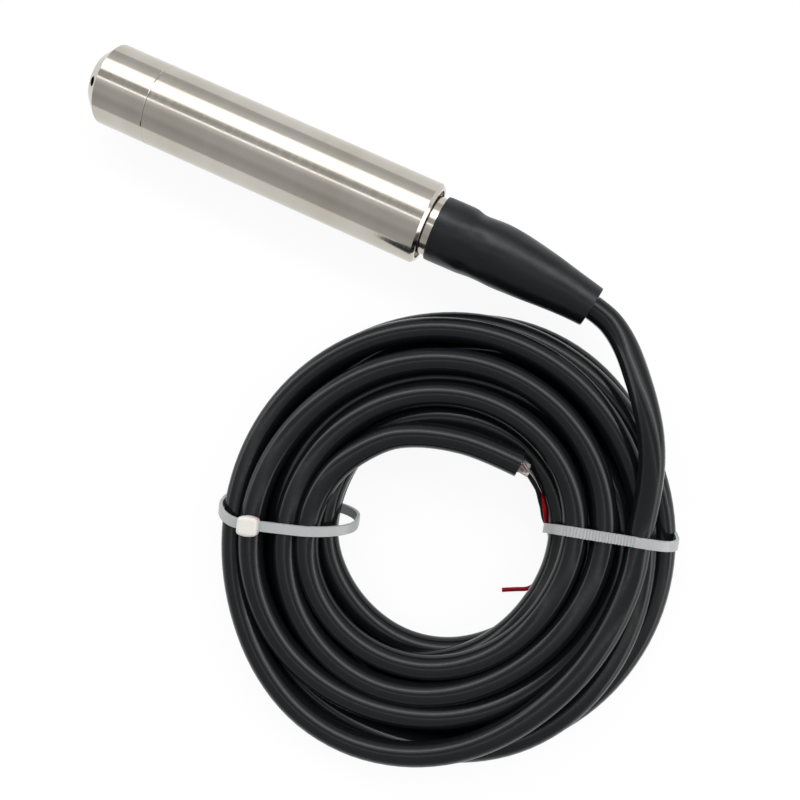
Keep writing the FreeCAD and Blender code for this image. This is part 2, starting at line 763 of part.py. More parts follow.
def sweep(wire, start, heading, radius):
    """A round solid along a wire, whose volume has to fit its length."""
    shape = wire.makePipe(Part.Face(Part.Wire(Part.makeCircle(radius, start, heading))))
    if abs(shape.Volume / (math.pi * radius**2 * wire.Length) - 1) > VOLUME_TOLERANCE:
        raise RuntimeError("a cord's volume doesn't fit its length")
    return shape


def shaped(label, shape):
    """A document object that holds a swept solid."""
    thing = doc.addObject("Part::Feature", label)
    thing.Label = label
    thing.Shape = shape
    thing.Placement = FreeCAD.Placement()
    return thing


def cord(label, points, diameter):
    """A free or held cord as one plain tube."""
    shape, radii = tube_along([FreeCAD.Vector(*point) for point in points], diameter / 2)
    length = shape.Volume / (math.pi * diameter**2 / 4)
    print(f"{label}: {length:.1f} mm long, radii " + " ".join(f"{radius:.1f}" for radius in radii))
    return piece(shaped(label, shape))


def behind_rear(route):
    """Route points with x counted from the probe's rear face turned into places of the part."""
    rear = value(REAR_X)
    return [(x + rear, y, z) for x, y, z in route]


def on_axis(station, aside, above):
    """A place of the part from a station and offsets from the probe's axis."""
    return (value(TIP_X) + value(station), aside, value(BODY_RADIUS) + above)


def capsule_leads():
    """Four thin wires from the capsule's pins back to both faces of the board."""
    lead = value("lead_diameter")
    rest = value("board_thickness") / 2 + lead / 2 + value("fit_gap")
    start = value(f"{SHOULDER} + pin_length")
    reach = value("lead_reach")
    leads = []
    for number, (aside, above) in enumerate(pin_places()):
        side = value(aside)
        level = value(above)
        flat = math.copysign(rest, level)
        stations = ((0, level), (reach * SLANT_START, level), (reach * SLANT_END, flat), (reach, flat))
        points = [FreeCAD.Vector(*on_axis(str(start + along), side, height)) for along, height in stations]
        strand, radii = tube_along(points, lead / 2)
        leads.append(shaped(f"capsule_lead_{number}", strand))
    group("capsule_leads", leads)


def cable_inside():
    """The cable from the plug through the gland and boot, with its cores and vent freed inside the tube."""
    length = value("boot_length")
    straight = value("neck_length - boot_standoff")
    inside = FreeCAD.Vector(*on_axis(CABLE_FRONT, 0, 0))
    bend = [boot_line(distance).Base for distance in (straight, (straight + length) / 2, length)]
    wire = Part.Wire([Part.LineSegment(inside, bend[0]).toShape(), Part.Arc(*bend).toShape()])
    piece(shaped("cable_entry", sweep(wire, inside, FreeCAD.Vector(1, 0, 0), value(CABLE_RADIUS))))
    core = value("core_wire_diameter")
    reach = value("core_wire_reach")
    start = value(CABLE_FRONT)
    rest = value("board_thickness") / 2 + core / 2 + value("fit_gap")
    for colour, side in (("red", -1), ("black", 1)):
        level = CORE_WIRE_SPREAD
        stations = ((0, level), (reach * SLANT_START, level), (reach * SLANT_END, rest), (reach, rest))
        points = [on_axis(str(start - along), side * CORE_WIRE_SPREAD, height) for along, height in stations]
        cord(f"inner_wire_{colour}", points, core)
    vent_end = f"({CABLE_FRONT} - vent_tube_reach)"
    body = turned("inner_vent_tube", (
        (vent_end, "vent_tube_bore / 2"),
        (vent_end, "vent_tube_diameter / 2"),
        (CABLE_FRONT, "vent_tube_diameter / 2"),
        (CABLE_FRONT, "vent_tube_bore / 2"),
    ))
    lay_on_axis(body, "0", "0", "-board_thickness / 2 - vent_tube_diameter")


def cable_outside():
    """The free cable: its lead on to the coil, the coil as one ring, and the stripped tail."""
    exit_place = boot_line(value("boot_length")).Base
    lead = [tuple(exit_place)] + behind_rear(LEAD_ROUTE)
    cord("cable_lead", lead, value("cable_diameter"))
    coil()
    tail = behind_rear(TAIL_ROUTE)
    cord("cable_tail", tail, value("cable_diameter"))
    end = FreeCAD.Vector(*tail[-1])
    heading = (end - FreeCAD.Vector(*tail[-2])).normalize()
    sleeve(end, heading, "shield_braid", "braid_diameter", "braid_bore", "braid_length")
    upright = heading.cross(FreeCAD.Vector(0, 0, 1)).cross(heading).normalize()
    vent_place = end + upright * VENT_TUBE_OFFSET
    sleeve(vent_place, heading, "vent_tube", "vent_tube_diameter", "vent_tube_bore", "vent_tube_reach")
    cord("core_wire_red", behind_rear(RED_WIRE_ROUTE), value("core_wire_diameter"))
    cord("core_wire_black", behind_rear(BLACK_WIRE_ROUTE), value("core_wire_diameter"))


def sleeve(start, heading, label, outside, inside, length):
    """A short plain tube that stands on the cable's cut end."""
    body = new_body(label)
    sketch = new_sketch(body, label + "_profile", "XZ_Plane")
    trace(sketch, (
        ("0", f"{inside} / 2"),
        ("0", f"{outside} / 2"),
        (length, f"{outside} / 2"),
        (length, f"{inside} / 2"),
    ))
    turning = body.newObject("PartDesign::Revolution", label + "_turning")
    turning.Profile = sketch
    turning.ReferenceAxis = (sketch, ["H_Axis"])
    turning.Angle = 360
    body.Placement = FreeCAD.Placement(start, FreeCAD.Rotation(FreeCAD.Vector(1, 0, 0), heading))
    piece(body)


def coil():
    """The ring that the wound turns of cable fill."""
    body = new_body("cable_coil")
    sketch = new_sketch(body, "coil_profile", "XZ_Plane")
    trace(sketch, (
        ("coil_inner_radius", "0"),
        ("coil_outer_radius", "0"),
        ("coil_outer_radius", "coil_height"),
        ("coil_inner_radius", "coil_height"),
    ))
    turning = body.newObject("PartDesign::Revolution", "coil_ring")
    turning.Profile = sketch
    turning.ReferenceAxis = (sketch, ["V_Axis"])
    turning.Angle = 360
    doc.recompute()
    corners = [
        f"Edge{number}"
        for number, edge in enumerate(turning.Shape.Edges, start=1)
        if isinstance(edge.Curve, Part.Circle)
    ]
    rounding = body.newObject("PartDesign::Fillet", "coil_rounding")
    rounding.Base = (turning, corners)
    bind(rounding, Radius="coil_round")
    bind(
        body,
        Placement__Base__x=f"{REAR_X} + coil_behind_rear",
        Placement__Base__y="-coil_aside",
        Placement__Base__z="tie_thickness + tie_gap",
    )
    piece(body)


def tie_outline(sketch, low, high, half_height, rounding):
    """A rounded oblong in a tie's own plane, from low to high along the bundle's width."""
    left = low + rounding
    right = high - rounding
    level = half_height - rounding
    normal = FreeCAD.Vector(0, 0, 1)
    first = sketch.GeometryCount
    corners = ((right, level, 0), (left, level, 90), (left, -level, 180), (right, -level, 270))
    for across, up, angle in corners:
        circle = Part.Circle(FreeCAD.Vector(across, up, 0), normal, rounding)
        sketch.addGeometry(Part.ArcOfCircle(circle, math.radians(angle), math.radians(angle + 90)), False)
    for index in range(4):
        arc = sketch.Geometry[first + index]
        following = sketch.Geometry[first + (index + 1) % 4]
        side = sketch.addGeometry(Part.LineSegment(arc.EndPoint, following.StartPoint), False)
        sketch.addConstraint(Sketcher.Constraint("Coincident", first + index, 2, side, 1))
        sketch.addConstraint(Sketcher.Constraint("Coincident", side, 2, first + (index + 1) % 4, 1))


def cable_tie(side, head_low):
    """A nylon strap round the bundle, leaning along it, with its locking head above or below."""
    label = f"cable_tie_{side}"
    lean = math.radians(value(f"tie_{side}_lean"))
    turn = math.radians(value(f"tie_{side}_turn"))
    gap = value("tie_gap")
    thick = value("tie_thickness")
    half_span = (value("coil_outer_radius") - value("coil_inner_radius")) / 2 / math.cos(turn) + gap
    low = -half_span - value(f"tie_{side}_slack")
    half_height = (value("coil_height") / 2 + gap) / math.cos(lean)
    rounding = value("coil_round") + gap
    body = new_body(label)
    sketch = new_sketch(body, label + "_loop", "XZ_Plane")
    tilt = FreeCAD.Rotation(FreeCAD.Vector(1, 0, 0), math.degrees(lean))
    sketch.AttachmentOffset = FreeCAD.Placement(FreeCAD.Vector(), tilt)
    tie_outline(sketch, low, half_span, half_height, rounding)
    tie_outline(sketch, low - thick, half_span + thick, half_height + thick, rounding + thick)
    strap = body.newObject("PartDesign::Pad", label + "_strap")
    strap.Profile = sketch
    strap.UseCustomVector = True
    strap.Direction = FreeCAD.Vector(0, 1, 0)
    strap.AlongSketchNormal = False
    strap.SideType = "Symmetric"
    bind(strap, Length="tie_width")
    doc.recompute()
    head = body.newObject("PartDesign::AdditiveBox", label + "_head")
    width = value("tie_head_width")
    if head_low:
        # Tucked under the rounded outer edge of the bundle, just clear of the floor.
        bind(head, Length="tie_low_head_reach", Width="tie_head_width", Height="tie_low_head_height")
        bottom = -(half_height + thick) * math.cos(lean)
        centre = bottom + value("tie_low_head_height") / 2
        start = half_span + thick + gap - value("tie_low_head_reach")
    else:
        # On top of the strap, over the outer turns of the bundle.
        bind(head, Length="tie_head_length", Width="tie_head_width", Height="tie_head_height")
        bottom = half_height * math.cos(lean)
        centre = bottom
        start = half_span - rounding - value("tie_head_length")
    aside = -centre * math.tan(lean) - width / 2
    head.Placement = FreeCAD.Placement(FreeCAD.Vector(start, aside, bottom), FreeCAD.Rotation())
    doc.recompute()
    bearing = math.radians(value(f"tie_{side}_bearing"))
    middle = (value("coil_outer_radius") + value("coil_inner_radius")) / 2
    place = FreeCAD.Vector(
        value(f"{REAR_X} + coil_behind_rear") + middle * math.cos(bearing),
        -value("coil_aside") + middle * math.sin(bearing),
        thick + gap + value("coil_height") / 2,
    )
    spin = value(f"tie_{side}_bearing + tie_{side}_turn")
    body.Placement = FreeCAD.Placement(place, FreeCAD.Rotation(FreeCAD.Vector(0, 0, 1), spin))
    piece(body)


def write_pieces():
    """Checks every object and writes each sub-part to its own file."""
    doc.recompute()
    failed = [item.Name for item in doc.Objects if {"Invalid", "Error"} & set(item.State)]
    if failed:
        raise RuntimeError("failed objects: " + ", ".join(failed))
    os.makedirs("parts", exist_ok=True)
    for item in pieces:
        shape = item.Shape
        if shape.isNull() or not shape.isValid():
            raise RuntimeError(f"{item.Label}: the shape is not valid")
        shape.exportStep(f"parts/{item.Label}.step")
        print(f"{item.Label}: {len(shape.Solids)} solid, {shape.Volume:.1f} mm3")


nose_cap()
cap_seal()
housing_tube()
capsule()
capsule_leads()
electronics()
rear_plug()
cable_gland()
strain_boot()
cable_inside()
cable_outside()
cable_tie("left", head_low=False)
cable_tie("right", head_low=True)
write_pieces()
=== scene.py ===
"""The submersible level sensor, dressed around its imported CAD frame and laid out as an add-on."""

import math

import bmesh
import bpy
from bpy.props import FloatProperty, FloatVectorProperty, IntProperty, PointerProperty
from mathutils import Matrix, Vector, noise


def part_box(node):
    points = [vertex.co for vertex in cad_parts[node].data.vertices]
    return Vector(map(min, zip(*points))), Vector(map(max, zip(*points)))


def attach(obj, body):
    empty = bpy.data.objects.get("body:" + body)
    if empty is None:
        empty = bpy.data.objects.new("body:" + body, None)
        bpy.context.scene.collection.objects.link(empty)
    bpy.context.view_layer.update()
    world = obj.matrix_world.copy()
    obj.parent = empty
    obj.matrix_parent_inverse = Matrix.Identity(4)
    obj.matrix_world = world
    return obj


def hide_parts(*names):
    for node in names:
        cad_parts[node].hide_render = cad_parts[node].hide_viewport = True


bl_info = {
    "name": "Submersible level sensor",
    "version": (1, 0, 0),
    "blender": (4, 5, 0),
    "location": "View3D > Sidebar > Level Sensor",
    "description": "Cable, boot, ties and finishes of a submersible level sensor around its CAD frame",
    "category": "Object",
}

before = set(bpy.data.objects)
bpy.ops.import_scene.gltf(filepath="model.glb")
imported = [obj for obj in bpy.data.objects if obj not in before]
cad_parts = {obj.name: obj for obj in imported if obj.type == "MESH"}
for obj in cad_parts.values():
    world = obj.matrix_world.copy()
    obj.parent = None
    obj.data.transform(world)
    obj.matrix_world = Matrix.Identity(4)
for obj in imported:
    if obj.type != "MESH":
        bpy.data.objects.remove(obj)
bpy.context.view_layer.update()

MM = 0.001
BODY = "probe"
TUBE_LOW, TUBE_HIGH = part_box("housing_tube")
CAP_SEAL_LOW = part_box("cap_seal_ring")[0]
COIL_LOW, COIL_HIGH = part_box("cable_coil")
BOOT_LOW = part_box("strain_relief_boot")[0]
REAR_X = TUBE_HIGH.x
AXIS_Z = (TUBE_LOW.z + TUBE_HIGH.z) / 2
COIL_CENTRE = (COIL_LOW + COIL_HIGH) / 2
COIL_OUTER = (COIL_HIGH.x - COIL_LOW.x) / 2
COIL_HEIGHT = COIL_HIGH.z - COIL_LOW.z

# Routes in millimetres: behind the tube's rear face, aside of the probe's axis and above the floor
LEAD_ROUTE = (
    (57.8, -2.9, 13.5),
    (62.8, -3.9, 13.5),
    (67.6, -6.3, 14.1),
    (72.7, -10.3, 15.9),
    (78.1, -16.4, 19.4),
    (84.1, -24.0, 23.0),
    (89.7, -32.1, 24.4),
    (94.2, -41.0, 23.6),
    (97.4, -50.7, 21.4),
    (99.9, -61.1, 19.6),
)
TAIL_ROUTE = (
    (16.1, -67.5, 21.2),
    (24.1, -62.5, 21.2),
    (34.1, -59.0, 21.0),
    (45.6, -57.0, 21.2),
    (58.0, -57.2, 21.2),
)
RED_WIRE_ROUTE = (
    (58.2, -57.4, 19.8),
    (60.6, -58.2, 18.4),
    (62.4, -59.5, 15.3),
    (65.4, -61.5, 13.9),
    (67.3, -62.9, 13.2),
    (70.1, -65.2, 13.2),
    (71.7, -67.8, 12.8),
    (72.9, -69.8, 11.4),
    (74.1, -71.1, 10.2),
    (75.4, -72.4, 9.0),
    (77.0, -75.0, 8.0),
    (78.3, -77.7, 6.8),
    (79.6, -80.4, 5.2),
    (80.6, -87.1, 2.2),
    (79.0, -93.4, 1.0),
    (74.3, -95.7, 0.8),
    (70.6, -97.8, 0.8),
)
BLACK_WIRE_ROUTE = (
    (58.0, -58.2, 20.6),
    (60.6, -58.6, 19.8),
    (62.5, -59.4, 17.2),
    (65.5, -61.4, 16.0),
    (67.2, -63.1, 14.9),
    (68.6, -65.0, 13.2),
    (70.2, -66.8, 12.0),
    (71.4, -68.7, 10.8),
    (72.5, -70.1, 9.6),
    (73.9, -71.3, 8.4),
    (75.4, -72.4, 7.3),
    (77.2, -74.9, 6.2),
    (79.3, -78.6, 4.4),
    (81.1, -82.6, 2.6),
    (82.2, -85.7, 1.4),
)

# Marks of the winding: bearing in degrees, falling turn by turn, then radius and height in millimetres
WINDING = (
    # first turn, from the lead over the right side to the outside of the top layer
    (45, 69.0, 23.4), (28, 61.6, 19.6), (15, 59.2, 20.4), (0, 57.6, 21.5), (-20, 57.6, 22.0), (-35, 59.0, 22.0),
    (-50, 62.0, 21.3), (-66, 65.6, 20.4), (-82, 68.5, 19.6), (-100, 70.4, 19.2), (-120, 69.4, 17.8),
    (-140, 67.9, 15.4), (-165, 67.3, 13.8), (-200, 67.5, 13.8), (-230, 67.1, 15.2), (-260, 66.1, 17.4),
    (-285, 65.1, 18.2), (-310, 63.4, 16.4), (-326, 63.2, 13.6), (-350, 63.4, 12.4), (-368, 64.7, 12.8),
    (-394, 66.9, 13.2), (-412, 67.4, 12.8),
    # second turn, under the first on the left and outside it at the top
    (-440, 66.0, 12.2), (-465, 65.8, 11.6), (-500, 67.0, 7.8), (-530, 67.6, 5.8), (-560, 67.8, 5.6),
    (-590, 68.4, 8.0), (-620, 69.2, 11.6), (-650, 69.6, 12.2), (-680, 69.8, 9.4), (-705, 69.9, 6.4),
    # bottom layer, turn inside turn
    (-730, 69.6, 5.3), (-760, 68.6, 5.3), (-795, 66.4, 5.3), (-830, 63.6, 5.3), (-870, 60.6, 5.3), (-900, 60.0, 5.3),
    (-940, 63.0, 5.3), (-970, 68.8, 5.3), (-1000, 72.0, 5.3), (-1030, 70.4, 5.3), (-1060, 64.4, 5.3),
    (-1090, 61.4, 5.3), (-1140, 60.0, 5.3), (-1190, 56.2, 5.3), (-1225, 53.4, 5.3), (-1260, 52.6, 5.3),
    (-1300, 56.4, 5.3), (-1330, 61.4, 5.3), (-1360, 64.4, 5.3), (-1390, 62.6, 5.3), (-1420, 56.6, 5.3),
    (-1450, 53.8, 5.3), (-1500, 52.4, 5.3), (-1550, 48.8, 5.3), (-1585, 46.0, 5.3), (-1620, 45.2, 5.3),
    (-1660, 49.0, 5.3), (-1690, 54.0, 5.3), (-1720, 56.8, 5.3), (-1750, 55.0, 5.3), (-1780, 49.0, 5.3),
    (-1810, 46.2, 5.3), (-1860, 44.8, 5.3), (-1910, 41.4, 5.3), (-1945, 38.9, 5.3), (-1980, 38.9, 5.3),
    (-2000, 40.2, 5.3), (-2020, 42.2, 5.3), (-2050, 46.6, 5.3), (-2080, 49.2, 5.3), (-2110, 47.4, 5.3),
    (-2140, 44.0, 5.3), (-2165, 40.8, 5.3),
    # up the inner wall, over the top beside the tail and down again
    (-2190, 37.6, 5.4), (-2220, 36.6, 6.6), (-2250, 35.6, 9.4), (-2264, 35.2, 10.8), (-2280, 35.3, 11.9),
    (-2296, 36.0, 12.5), (-2312, 37.2, 12.8), (-2325, 38.0, 12.8), (-2340, 38.6, 12.9), (-2352, 39.2, 13.0),
    (-2370, 39.5, 13.6), (-2392, 39.2, 14.4), (-2420, 38.8, 14.2),
    (-2445, 39.2, 13.2), (-2463, 38.9, 12.6), (-2481, 38.5, 12.4), (-2498, 37.2, 12.4), (-2516, 35.8, 12.4),
    # middle layer, turn outside turn
    (-2540, 35.4, 12.4), (-2570, 37.4, 12.3), (-2600, 41.0, 12.2), (-2630, 44.2, 12.2), (-2670, 45.3, 12.2),
    (-2700, 45.5, 12.2), (-2745, 44.0, 11.4), (-2790, 44.5, 11.0), (-2840, 46.4, 11.8), (-2880, 46.0, 12.2),
    (-2905, 45.8, 12.2), (-2930, 48.0, 12.2), (-2960, 51.0, 12.2), (-2990, 53.4, 12.2), (-3030, 53.2, 12.2),
    (-3060, 53.0, 12.2), (-3110, 52.0, 12.2), (-3150, 51.6, 12.2), (-3180, 53.8, 12.2), (-3200, 56.2, 12.4),
    (-3218, 57.4, 13.2), (-3232, 55.8, 14.6),
    # top layer, turn inside turn to the tail
    (-3250, 54.3, 15.4), (-3274, 53.6, 16.4), (-3290, 54.2, 17.6), (-3320, 55.6, 19.0), (-3340, 57.9, 19.2),
    (-3360, 60.1, 19.2), (-3380, 60.9, 19.2), (-3402, 60.5, 19.2), (-3440, 57.9, 19.2), (-3470, 57.1, 19.2),
    (-3500, 56.4, 19.2), (-3530, 54.8, 19.2), (-3550, 53.1, 19.2), (-3570, 50.6, 19.2),
    (-3590, 48.0, 19.2), (-3606, 46.4, 19.2), (-3622, 45.6, 19.2), (-3640, 45.6, 19.2), (-3660, 47.0, 19.2),
    (-3680, 49.0, 19.2), (-3700, 50.4, 19.2), (-3730, 50.5, 19.2), (-3760, 49.2, 19.2), (-3800, 47.1, 19.2),
    (-3830, 46.5, 19.2), (-3860, 45.8, 19.2), (-3890, 44.8, 19.2), (-3910, 43.7, 19.2),
    (-3935, 41.2, 19.2), (-3955, 38.8, 18.9), (-3980, 38.0, 18.7), (-4010, 38.6, 19.0), (-4040, 40.2, 19.2),
    (-4080, 42.2, 19.2), (-4110, 42.8, 19.4), (-4135, 41.4, 20.0), (-4155, 39.2, 20.8), (-4176, 37.0, 21.2),
)
FIRST_BEARING = 15.0
LAST_BEARING = -4155.0
POINTS_PER_TURN = 24

# Faces round a quarter of a cord, and steps from point to point of the cable and of a core
CORD_ROUNDNESS = 6
CABLE_STEPS, CORE_STEPS = 5, 8

# Braid, in millimetres: a strand's reach and how much it varies, how deep it starts, the braid's radius and
# what it loses on its way, the step between strands that cross, and a strand's radius; its twist in radians
BRAID_REACH, BRAID_RAGGED, BRAID_DEPTH = 3.3, 0.9, 0.4
BRAID_RADIUS, BRAID_NARROWS, BRAID_CROSSING, STRAND_RADIUS = 2.55, 1.35, 0.12, 0.24
BRAID_TWIST, BRAID_CURVE = 1.1, 0.7
BRAID_STEPS, STRAND_SIDES = 8, 6

# Ties: bearing on the coil, turn across it and lean along it in degrees, and sizes in metres;
# slack and reach of the loop at the inner end, slack at the outer end, then how far the strap's
# lower inner corner (twist) and its outer end (bow) are moved along the coil, how far out the ribs
# on top go, and the head's place and size
INNER_RADIUS = 35.2 * MM
TIES = (
    {"node": "cable_tie_left", "bearing": 196.6, "turn": 2.3, "lean": -16.2, "inner_slack": 6.6 * MM,
     "reach": 17 * MM, "outer_slack": 0.0, "twist": 0.0, "bow": -1.5 * MM, "ribs_to": -1.0,
     "head_across": 6.9 * MM, "head_above": 12.6 * MM, "head_size": (6.7 * MM, 5.4 * MM, 4.6 * MM)},
    {"node": "cable_tie_right", "bearing": 30.2, "turn": -14.0, "lean": 14.0, "inner_slack": 0.6 * MM,
     "reach": 10 * MM, "outer_slack": 0.95 * MM, "twist": -8.5 * MM, "bow": -1.5 * MM, "ribs_to": 6 * MM,
     "head_across": 18.5 * MM, "head_above": -9.6 * MM, "head_size": (3.8 * MM, 5.6 * MM, 4.8 * MM)},
)
# Rounding of a loop, how far below its top ribs go, share of the thickness between ribs, and a strap's edges;
# how much fuller a head is in its middle, and its rounding
LOOP_ROUNDING, RIBS_DOWN_TO, RIB_HOLLOW, STRAP_EDGE = 10 * MM, 2 * MM, 0.66, 0.12 * MM
HEAD_FULLNESS, HEAD_ROUNDING = 1.26, 1.1 * MM

# Boot's outline as distance from its mouth and radius, in millimetres
BOOT_OUTLINE = (
    (4.9, 9.82), (0.05, 9.82), (0.0, 10.0), (0.0, 10.45), (0.15, 10.65), (0.6, 10.72), (3.6, 10.7), (7.2, 10.68),
    (9.8, 10.62), (11.2, 10.44), (12.4, 10.22), (13.8, 10.16), (15.8, 10.2), (18.8, 10.22), (21.5, 10.21),
    (24.2, 10.15), (26.8, 9.98), (29.4, 9.76), (34.6, 9.2), (39.8, 8.52), (44.9, 7.8), (49.7, 7.22), (54.1, 6.86),
    (55.0, 6.78), (55.32, 6.6), (55.4, 6.35), (55.4, 4.3), (55.1, 4.06), (51.0, 4.04),
)
# Its inside from there back to the neck
BOOT_INSIDE = ((38.0, 5.75), (25.0, 7.47), (12.45, 9.12), (12.4, 9.82))
BOOT_SIDES = 72
# Lumps all over it and wrinkles near the neck's end: how many to the metre and how high in millimetres,
# and how far the wrinkles go
LUMPS, LUMP_HEIGHT = 110.0, 0.2
WRINKLES, WRINKLE_HEIGHT, WRINKLED_LENGTH = 240.0, 0.42, 9 * MM

# Thread: distance of its first turn from the tube's front, depth of its foot in the spigot, share of the
# pitch that the ridge takes up, steps across the ridge and in one turn
THREAD_INSET, THREAD_FOOT, RIDGE_SHARE = 0.9 * MM, 0.02 * MM, 0.96
RIDGE_STEPS, TURN_STEPS = 8, 72

# Light round the probe's axis: angle from overhead in degrees, positive towards the window, and brightness
BANDS = (
    (-180, 0.56), (-100, 0.55), (-84, 0.55), (-72, 0.52), (-60, 0.46), (-53, 0.465), (-42, 0.56), (-22, 0.56),
    (-13, 0.8), (-8, 0.8), (-6.6, 2.4), (-4, 2.4), (-2.6, 0.5), (17, 0.47), (19.5, 2.2), (30, 2.2), (32, 6.0),
    (40, 6.0), (42, 2.2), (52, 2.2), (55, 0.8), (65, 0.74), (77, 0.61), (87, 0.61), (90, 0.6), (180, 0.6),
)
# Walls before and behind the probe: share of a direction that points along it, and brightness
WALLS = ((-1, 2.6), (-0.94, 2.6), (-0.9, 0.8), (-0.3, 0.0), (0.3, 0.0), (0.9, 0.5), (0.94, 2.6), (1, 2.6))
# Share of the floor's own white in what the camera and reflections see; the rest keeps the shadow
FLOOR_GLOW = 0.92
FLOOR_HALF = 4

# Part of a noise pattern's range that a mask is spread over, and depth of a grain under a bump
MASK_LOW, MASK_HIGH = 0.3, 0.7
GRAIN_DEPTH = 0.3 * MM

# Steel: rings and bands to the metre along the probe and round it, share of the colour in the deeper bands,
# and roughness, bump and depth of the rings
STEEL_RINGS = {"Along": 1500.0, "Across": 16.0}
STEEL_BANDS = {"Along": 75.0, "Across": 9.0}
STEEL_DEEPER = (0.89, 0.87, 0.84)
STEEL_ROUGH, RING_BUMP, RING_DEPTH = (0.09, 0.17), 0.02, 0.1 * MM


# Properties a user would change


class ProbeLook(bpy.types.PropertyGroup):
    """Finish of the steel probe."""

    steel: FloatVectorProperty(
        name="Steel", description="Colour of the satin-polished steel", subtype="COLOR", size=3, min=0, max=1,
        default=(0.56, 0.532, 0.482),
    )
    thread_pitch: FloatProperty(
        name="Thread Pitch", description="Rise of the cap's thread in one turn", unit="LENGTH", default=1.0 * MM,
    )
    thread_root: FloatProperty(
        name="Thread Root", description="Radius of the spigot that carries the thread", unit="LENGTH",
        default=11.0 * MM,
    )
    thread_height: FloatProperty(
        name="Thread Height", description="Height of the thread's ridge above its root", unit="LENGTH",
        default=0.07 * MM,
    )


class CableLook(bpy.types.PropertyGroup):
    """Sizes and colours of the cable and its cores."""

    diameter: FloatProperty(
        name="Cable Diameter", description="Outside of the cable's jacket", unit="LENGTH", default=8 * MM,
    )
    core_diameter: FloatProperty(
        name="Core Diameter", description="Outside of one core's insulation", unit="LENGTH", default=1.4 * MM,
    )
    jacket: FloatVectorProperty(
        name="Jacket", description="Colour of the jacket", subtype="COLOR", size=3, min=0, max=1,
        default=(0.006, 0.007, 0.0077),
    )
    red_core: FloatVectorProperty(
        name="Red Core", description="Colour of the red core", subtype="COLOR", size=3, min=0, max=1,
        default=(0.24, 0.0012, 0.004),
    )
    black_core: FloatVectorProperty(
        name="Black Core", description="Colour of the black core", subtype="COLOR", size=3, min=0, max=1,
        default=(0.008, 0.008, 0.009),
    )
    braid_ends: IntProperty(
        name="Braid Strands", description="Strands that the braid is combed into", default=22, min=6, max=40,
    )
    vent_lift: FloatProperty(
        name="Vent Lift", description="Height of the vent tube above the cable's axis", unit="LENGTH",
        default=1.3 * MM,
    )


class BootLook(bpy.types.PropertyGroup):
    """Bend and colour of the strain relief boot."""

    straight: FloatProperty(
        name="Straight", description="Length of the boot that is straight on the neck", unit="LENGTH",
        default=12.4 * MM,
    )
    length: FloatProperty(
        name="Length", description="Length of the boot along its axis", unit="LENGTH", default=55.4 * MM,
    )
    bend: FloatProperty(
        name="Bend", description="Turn of the boot from the neck to its end", unit="ROTATION",
        default=math.radians(7.7),
    )
    sleeve: FloatVectorProperty(
        name="Sleeve", description="Colour of the shrunk sleeve", subtype="COLOR", size=3, min=0, max=1,
        default=(0.003, 0.0036, 0.0043),
    )


class TieLook(bpy.types.PropertyGroup):
    """Sizes and colour of the nylon ties."""

    width: FloatProperty(name="Strap Width", description="Width of a strap", unit="LENGTH", default=3.0 * MM)
    thickness: FloatProperty(
        name="Strap Thickness", description="Thickness of a strap", unit="LENGTH", default=1.1 * MM,
    )
    gap: FloatProperty(
        name="Gap", description="Room between the bundle and a strap", unit="LENGTH", default=0.2 * MM,
    )
    rib_pitch: FloatProperty(
        name="Rib Pitch", description="Distance from rib to rib on a strap", unit="LENGTH", default=0.95 * MM,
    )
    nylon: FloatVectorProperty(
        name="Nylon", description="Colour of the natural nylon", subtype="COLOR", size=3, min=0, max=1,
        default=(0.335, 0.345, 0.345),
    )
    thick_nylon: FloatVectorProperty(
        name="Thick Nylon", description="Colour of the nylon where it is thick", subtype="COLOR", size=3, min=0, max=1,
        default=(0.6, 0.58, 0.545),
    )


class StageLook(bpy.types.PropertyGroup):
    """Camera and light."""

    camera_place: FloatVectorProperty(
        name="Camera", description="Where the camera stands", subtype="TRANSLATION", size=3,
        default=(0.0983, -0.0453, 0.3363),
    )
    camera_aim: FloatVectorProperty(
        name="Aim", description="Point that the camera looks at", subtype="TRANSLATION", size=3,
        default=(0.0656, -0.0553, 0.0),
    )
    camera_up: FloatVectorProperty(
        name="Up", description="Direction that is up in the picture", subtype="DIRECTION", size=3,
        default=(-0.4205, 0.9073, 0.0),
    )
    lens: FloatProperty(name="Lens", description="Focal length in millimetres", default=45.58)
    floor: FloatVectorProperty(
        name="Floor", description="Colour of the floor", subtype="COLOR", size=3, min=0, max=1,
        default=(0.86, 0.86, 0.86),
    )
    window_level: FloatProperty(name="Window", description="Brightness of the window", default=6.0)


# Shared shader groups and materials


def shader_group(name, inputs, output):
    """A new shader group with named number inputs and one number output, and its two end nodes."""
    group = bpy.data.node_groups.new(name, "ShaderNodeTree")
    for label, start in inputs:
        group.interface.new_socket(name=label, in_out="INPUT", socket_type="NodeSocketFloat").default_value = start
    group.interface.new_socket(name=output, in_out="OUTPUT", socket_type="NodeSocketFloat")
    return group, group.nodes.new("NodeGroupInput"), group.nodes.new("NodeGroupOutput")


def grain_group():
    """Fine even grain, from 0 to 1, at a number of grains to the metre."""
    name = "Grain"
    if name in bpy.data.node_groups:
        return bpy.data.node_groups[name]
    group, given, result = shader_group(name, (("Scale", 400.0), ("Detail", 3.0)), "Mask")
    place = group.nodes.new("ShaderNodeTexCoord")
    pattern = group.nodes.new("ShaderNodeTexNoise")
    group.links.new(place.outputs["Object"], pattern.inputs["Vector"])
    group.links.new(given.outputs["Scale"], pattern.inputs["Scale"])
    group.links.new(given.outputs["Detail"], pattern.inputs["Detail"])
    group.links.new(pattern.outputs["Fac"], result.inputs["Mask"])
    return group


